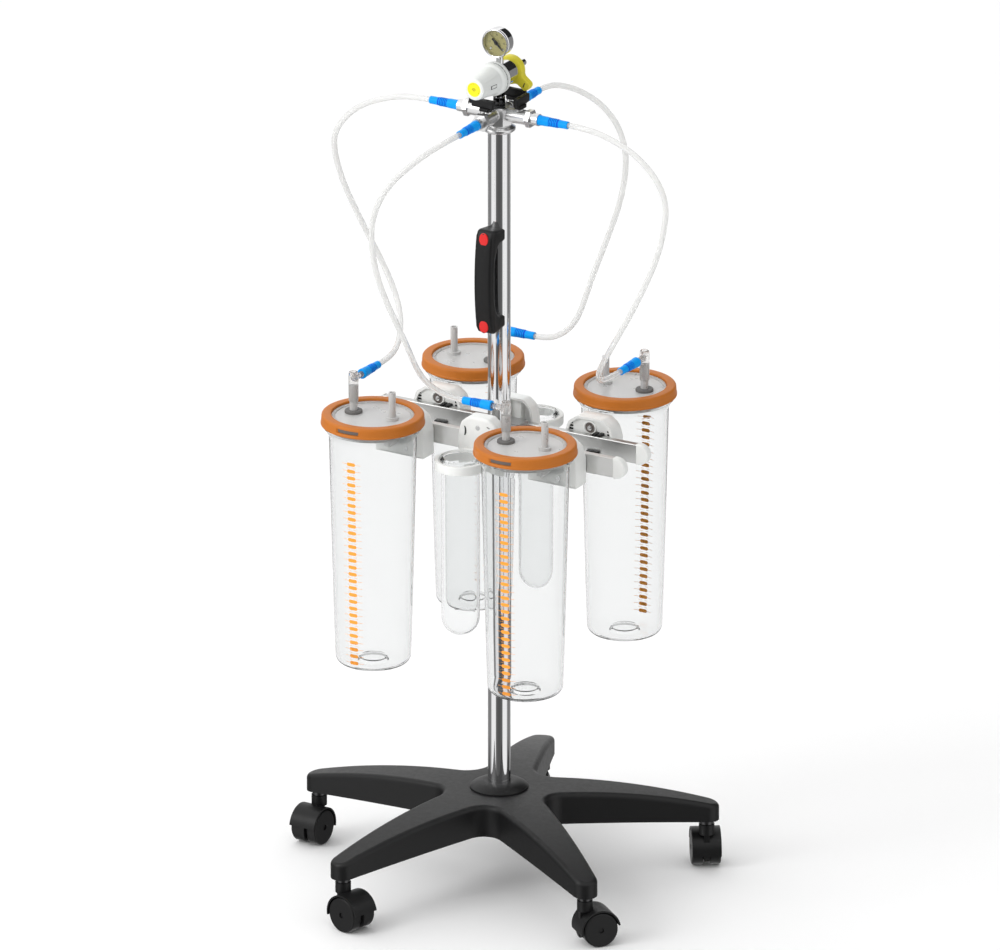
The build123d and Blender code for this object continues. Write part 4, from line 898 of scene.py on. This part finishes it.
def make_manifold_trim():
    # The eight-sided block on its collar, the four stubs to the valves, and the riser's nut and sleeve.
    low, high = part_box("manifold")
    mid = MANIFOLD_Z - low[2] / MM
    block = [(0, 6), (14, 6), (19, 11), (19, mid + 4), (16, mid + MANIFOLD_SEAT),
             (0, mid + MANIFOLD_SEAT)]
    block = turned(block, (0, 0, low[2]), segments=8)
    collar = turned(rounded([(15, 0.2), (20.5, 0.2, 1), (23, 2.5, 1.5), (23, 6, 1.5), (16, 10, 3), (16, 14)]),
                    (0, 0, low[2]))
    stubs = []
    for way in WAYS.values():
        start = Vector(way) * 14 * MM + Vector((0, 0, MANIFOLD_Z * MM))
        stubs.append(turned(rounded([(9.8, 0), (9.8, 9.6, 0.4), (9.0, 10.0)]), start, way, 48))
    finish_piece("manifold_block", joined([block, collar, *stubs]), CAST,
                 stands_for=["manifold"])
    seat = MANIFOLD_Z + MANIFOLD_SEAT
    nut = extruded(hexagon(16.5, 0.6), Matrix.Identity(4), seat, seat + 13, 0.6)
    finish_piece("riser_nut", nut, BLACK_CHROME)
    sleeve = turned(rounded([(7.0, 0), (7.7, 0, 0.4), (7.7, 6, 0.5), (7.0, 6.2)]), (0, 0, high[2] + 4 * MM))
    finish_piece("riser_sleeve", sleeve, BLACK_CHROME)


def make_selector():
    low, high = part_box("selector_ring")
    front, back = low[1], high[1]
    place = Matrix.Translation((0, front, REGULATOR_Z * MM)) @ Matrix.Rotation(math.radians(37), 4, "Y")
    place = place @ TOWARDS_FRONT
    rim = SELECTOR_RADIUS - 0.1
    angles = [math.radians(degrees) for degrees in range(28, 334, 4)]
    arc = [(rim * math.cos(angle), rim * math.sin(angle)) for angle in angles]
    outline = [*arc, (rim + 1, -7.3, 2), (SELECTOR_REACH, -6.8, 5.5), (SELECTOR_REACH, 6.8, 5.5),
               (rim + 1, 7.3, 2), arc[0]]
    ring = extruded(rounded(outline)[:-1], place, -(back - front) / MM, 0, 1.4)
    finish_piece("selector_plate", ring, YELLOW, "selector_ring_body", ["selector_ring"])
    slash = place @ Matrix.Translation((30 * MM, 0, 0)) @ Matrix.Rotation(math.radians(15), 4, "Z")
    mark = extruded(rounded_rectangle(1.5, 7.5, 0.6), slash, -0.2, 0.15, 0.05)
    finish_piece("selector_mark", mark, PRINT_AND_PAINTED_SHADE, "selector_ring_body")


def dial_digit(text, place, size):
    curve = bpy.data.curves.new("digit", "FONT")
    curve.body = text
    curve.size = size * MM
    curve.align_x = "CENTER"
    curve.align_y = "CENTER"
    curve.extrude = 0.05 * MM
    holder = bpy.data.objects.new("digit", curve)
    bpy.context.collection.objects.link(holder)
    mesh = bpy.data.meshes.new_from_object(holder)
    bpy.data.objects.remove(holder)
    mesh.transform(place)
    return mesh


def make_gauge():
    low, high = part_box("gauge_case")
    back = high[1]
    origin = Vector((0, back, GAUGE_Z * MM))
    outline = rounded([(0, 0), (16.5, 0, 2), (20, 3, 2.5), (20.4, 16, 0.8), (19.6, 17, 0.5), (20.5, 18, 0.5),
                       (20.5, 20.4, 0.7), (19.6, 21, 0.4), (18.6, 20.6, 0.3), (18.3, 19), (18.3, 14), (0, 14)])
    finish_piece("gauge_bezel", turned(outline, origin, (0, -1, 0), 128), CHROME)
    neck = rounded_rectangle(12.5, 12.5, 3)
    place = Matrix.Translation((0, 2 * MM, 0))
    finish_piece("gauge_neck", extruded(neck, place, GAUGE_Z - 22, GAUGE_Z - 16, 0.8), CHROME)
    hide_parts("gauge_case")
    face = back - 15.0 * MM
    dial_front = Matrix.Translation((0, face, GAUGE_Z * MM)) @ TOWARDS_FRONT
    dial = turned([(0, 14.0), (18.2, 14.0), (18.2, 15.0), (0, 15.0)], origin, (0, -1, 0), 96)
    finish_piece("gauge_dial_plate", dial, DIAL, stands_for=["gauge_dial"])
    marks = []
    for step in range(31):
        angle = math.radians(225 - 9 * step)
        major = step % 5 == 0
        length = 2.6 if major else 1.5
        reach = 16.6 - length / 2
        place = dial_front @ Matrix.Rotation(angle, 4, "Z") @ Matrix.Translation((reach * MM, 0, 0))
        marks.append(extruded(rounded_rectangle(length, 0.45 if major else 0.25, 0.1), place, -0.05, 0.08))
        if major:
            centre = Vector((math.cos(angle), math.sin(angle), 0)) * 11.4 * MM
            marks.append(dial_digit(str(step * 2), dial_front @ Matrix.Translation(centre), 3.4))
    finish_piece("gauge_marks", joined(marks), PRINT_AND_PAINTED_SHADE)
    screws = []
    for across in (-9.5, 9.5):
        start = Vector((across * MM, face, (GAUGE_Z - 9.5) * MM))
        screws.append(turned(rounded([(0, 0.9), (1.0, 0.9, 0.3), (1.5, 0.2, 0.2), (1.5, 0)]), start,
                             (0, -1, 0), 24))
    finish_piece("gauge_screws", joined(screws), WHITE)
    needle = [(-8.5, 0), (-8.2, 1.9, 0.5), (-4, 1.4), (-2.6, 2.2, 0.5), (0, 3.2, 1.5), (2.6, 2.2, 0.5),
              (4, 1.3),
              (14.5, 0.5), (14.5, -0.5), (4, -1.3), (2.6, -2.2, 0.5), (0, -3.2, 1.5), (-2.6, -2.2, 0.5),
              (-4, -1.4), (-8.2, -1.9, 0.5), (-8.5, 0)]
    low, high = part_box("gauge_needle")
    spin = Matrix.Translation((0, high[1],
                               GAUGE_Z * MM)) @ TOWARDS_FRONT @ Matrix.Rotation(math.radians(-45), 4, "Z")
    blade = extruded(rounded(needle, 3)[:-1], spin, 0, 0.5)
    cap = turned(rounded([(0, 1.0), (1.4, 1.0, 0.4), (2.0, 0.3, 0.2), (2.0, 0)]), (0, high[1], GAUGE_Z * MM),
                 (0, -1, 0), 32)
    finish_piece("gauge_pointer", joined([blade, cap]), NEEDLE, "gauge_needle_body",
                 ["gauge_needle"])
    lens = turned(rounded([(0, 18.4), (17, 18.2), (18.2, 17.9), (18.2, 17.3), (0, 17.5)], 3), origin,
                  (0, -1, 0), 96)
    finish_piece("gauge_window", lens, LENS, stands_for=["gauge_lens"])


# ---------------------------------------------------------------- valve levers

LEVER_STEM = 32.0
VALVE_NAMES = {1: "left", 2: "front", 3: "back", 4: "right"}


def make_lever(number):
    way = Vector(WAYS[VALVE_NAMES[number]])
    wing = Vector((way.y, way.x, 0))
    low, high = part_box("valve_lever_" + str(number))
    turn = Matrix((wing, Vector((0, 0, 1)).cross(wing), Vector((0, 0, 1)))).transposed().to_4x4()
    place = Matrix.Translation(way * LEVER_STEM * MM) @ turn
    bottom, top = low[2] / MM, high[2] / MM
    hub = extruded(rounded_rectangle(17, 13, 3.5), place @ Matrix.Translation((3 * MM, 0, 0)), bottom,
                   bottom + 4.6, 0.8)
    blade = [(-10.8, -3.9, 1.5), (24.9, -3.1, 2.5), (24.9, 3.1, 2.5), (-10.8, 3.9, 1.5)]
    blade = [(0, -3.6), *blade[1:3], blade[3], blade[0], (0, -3.6)]
    wing_plate = extruded(rounded(blade)[:-1], place, bottom + 4, top, 1.2)
    cap = turned(rounded([(0, top), (2.4, top, 0.5), (3.4, top - 1.2, 0.4), (3.4, top - 2)]),
                 way * LEVER_STEM * MM, segments=32)
    finish_piece("lever_" + VALVE_NAMES[number], joined([hub, wing_plate, cap]), BLACK,
                 "valve_lever_" + str(number) + "_body", ["valve_lever_" + str(number)])


make_camera()
make_world()
make_floor()
area_light("key", (-2.2, -3.4, 3.2), (0, 0, 0.6), (2.0, 2.0), 60)
dress_cad_nodes()
for jar_number in JARS:
    make_jar(jar_number)
    make_scale(jar_number)
    make_ring(jar_number)
    make_elbow(jar_number)
    make_bracket(jar_number)
make_holder("front", -1)
make_holder("back", 1)
make_rail_ends()
make_handle()
make_connectors()
make_knob()
make_manifold_trim()
make_selector()
make_gauge()
for valve_number in VALVE_NAMES:
    make_lever(valve_number)
make_hose(1, HOSE_1_ROUTE)
make_hose(2, HOSE_2_ROUTE)
make_hose(3, half_turn(HOSE_2_ROUTE))
make_hose(4, half_turn(HOSE_1_ROUTE))

bpy.context.scene.view_settings.view_transform = "Standard"
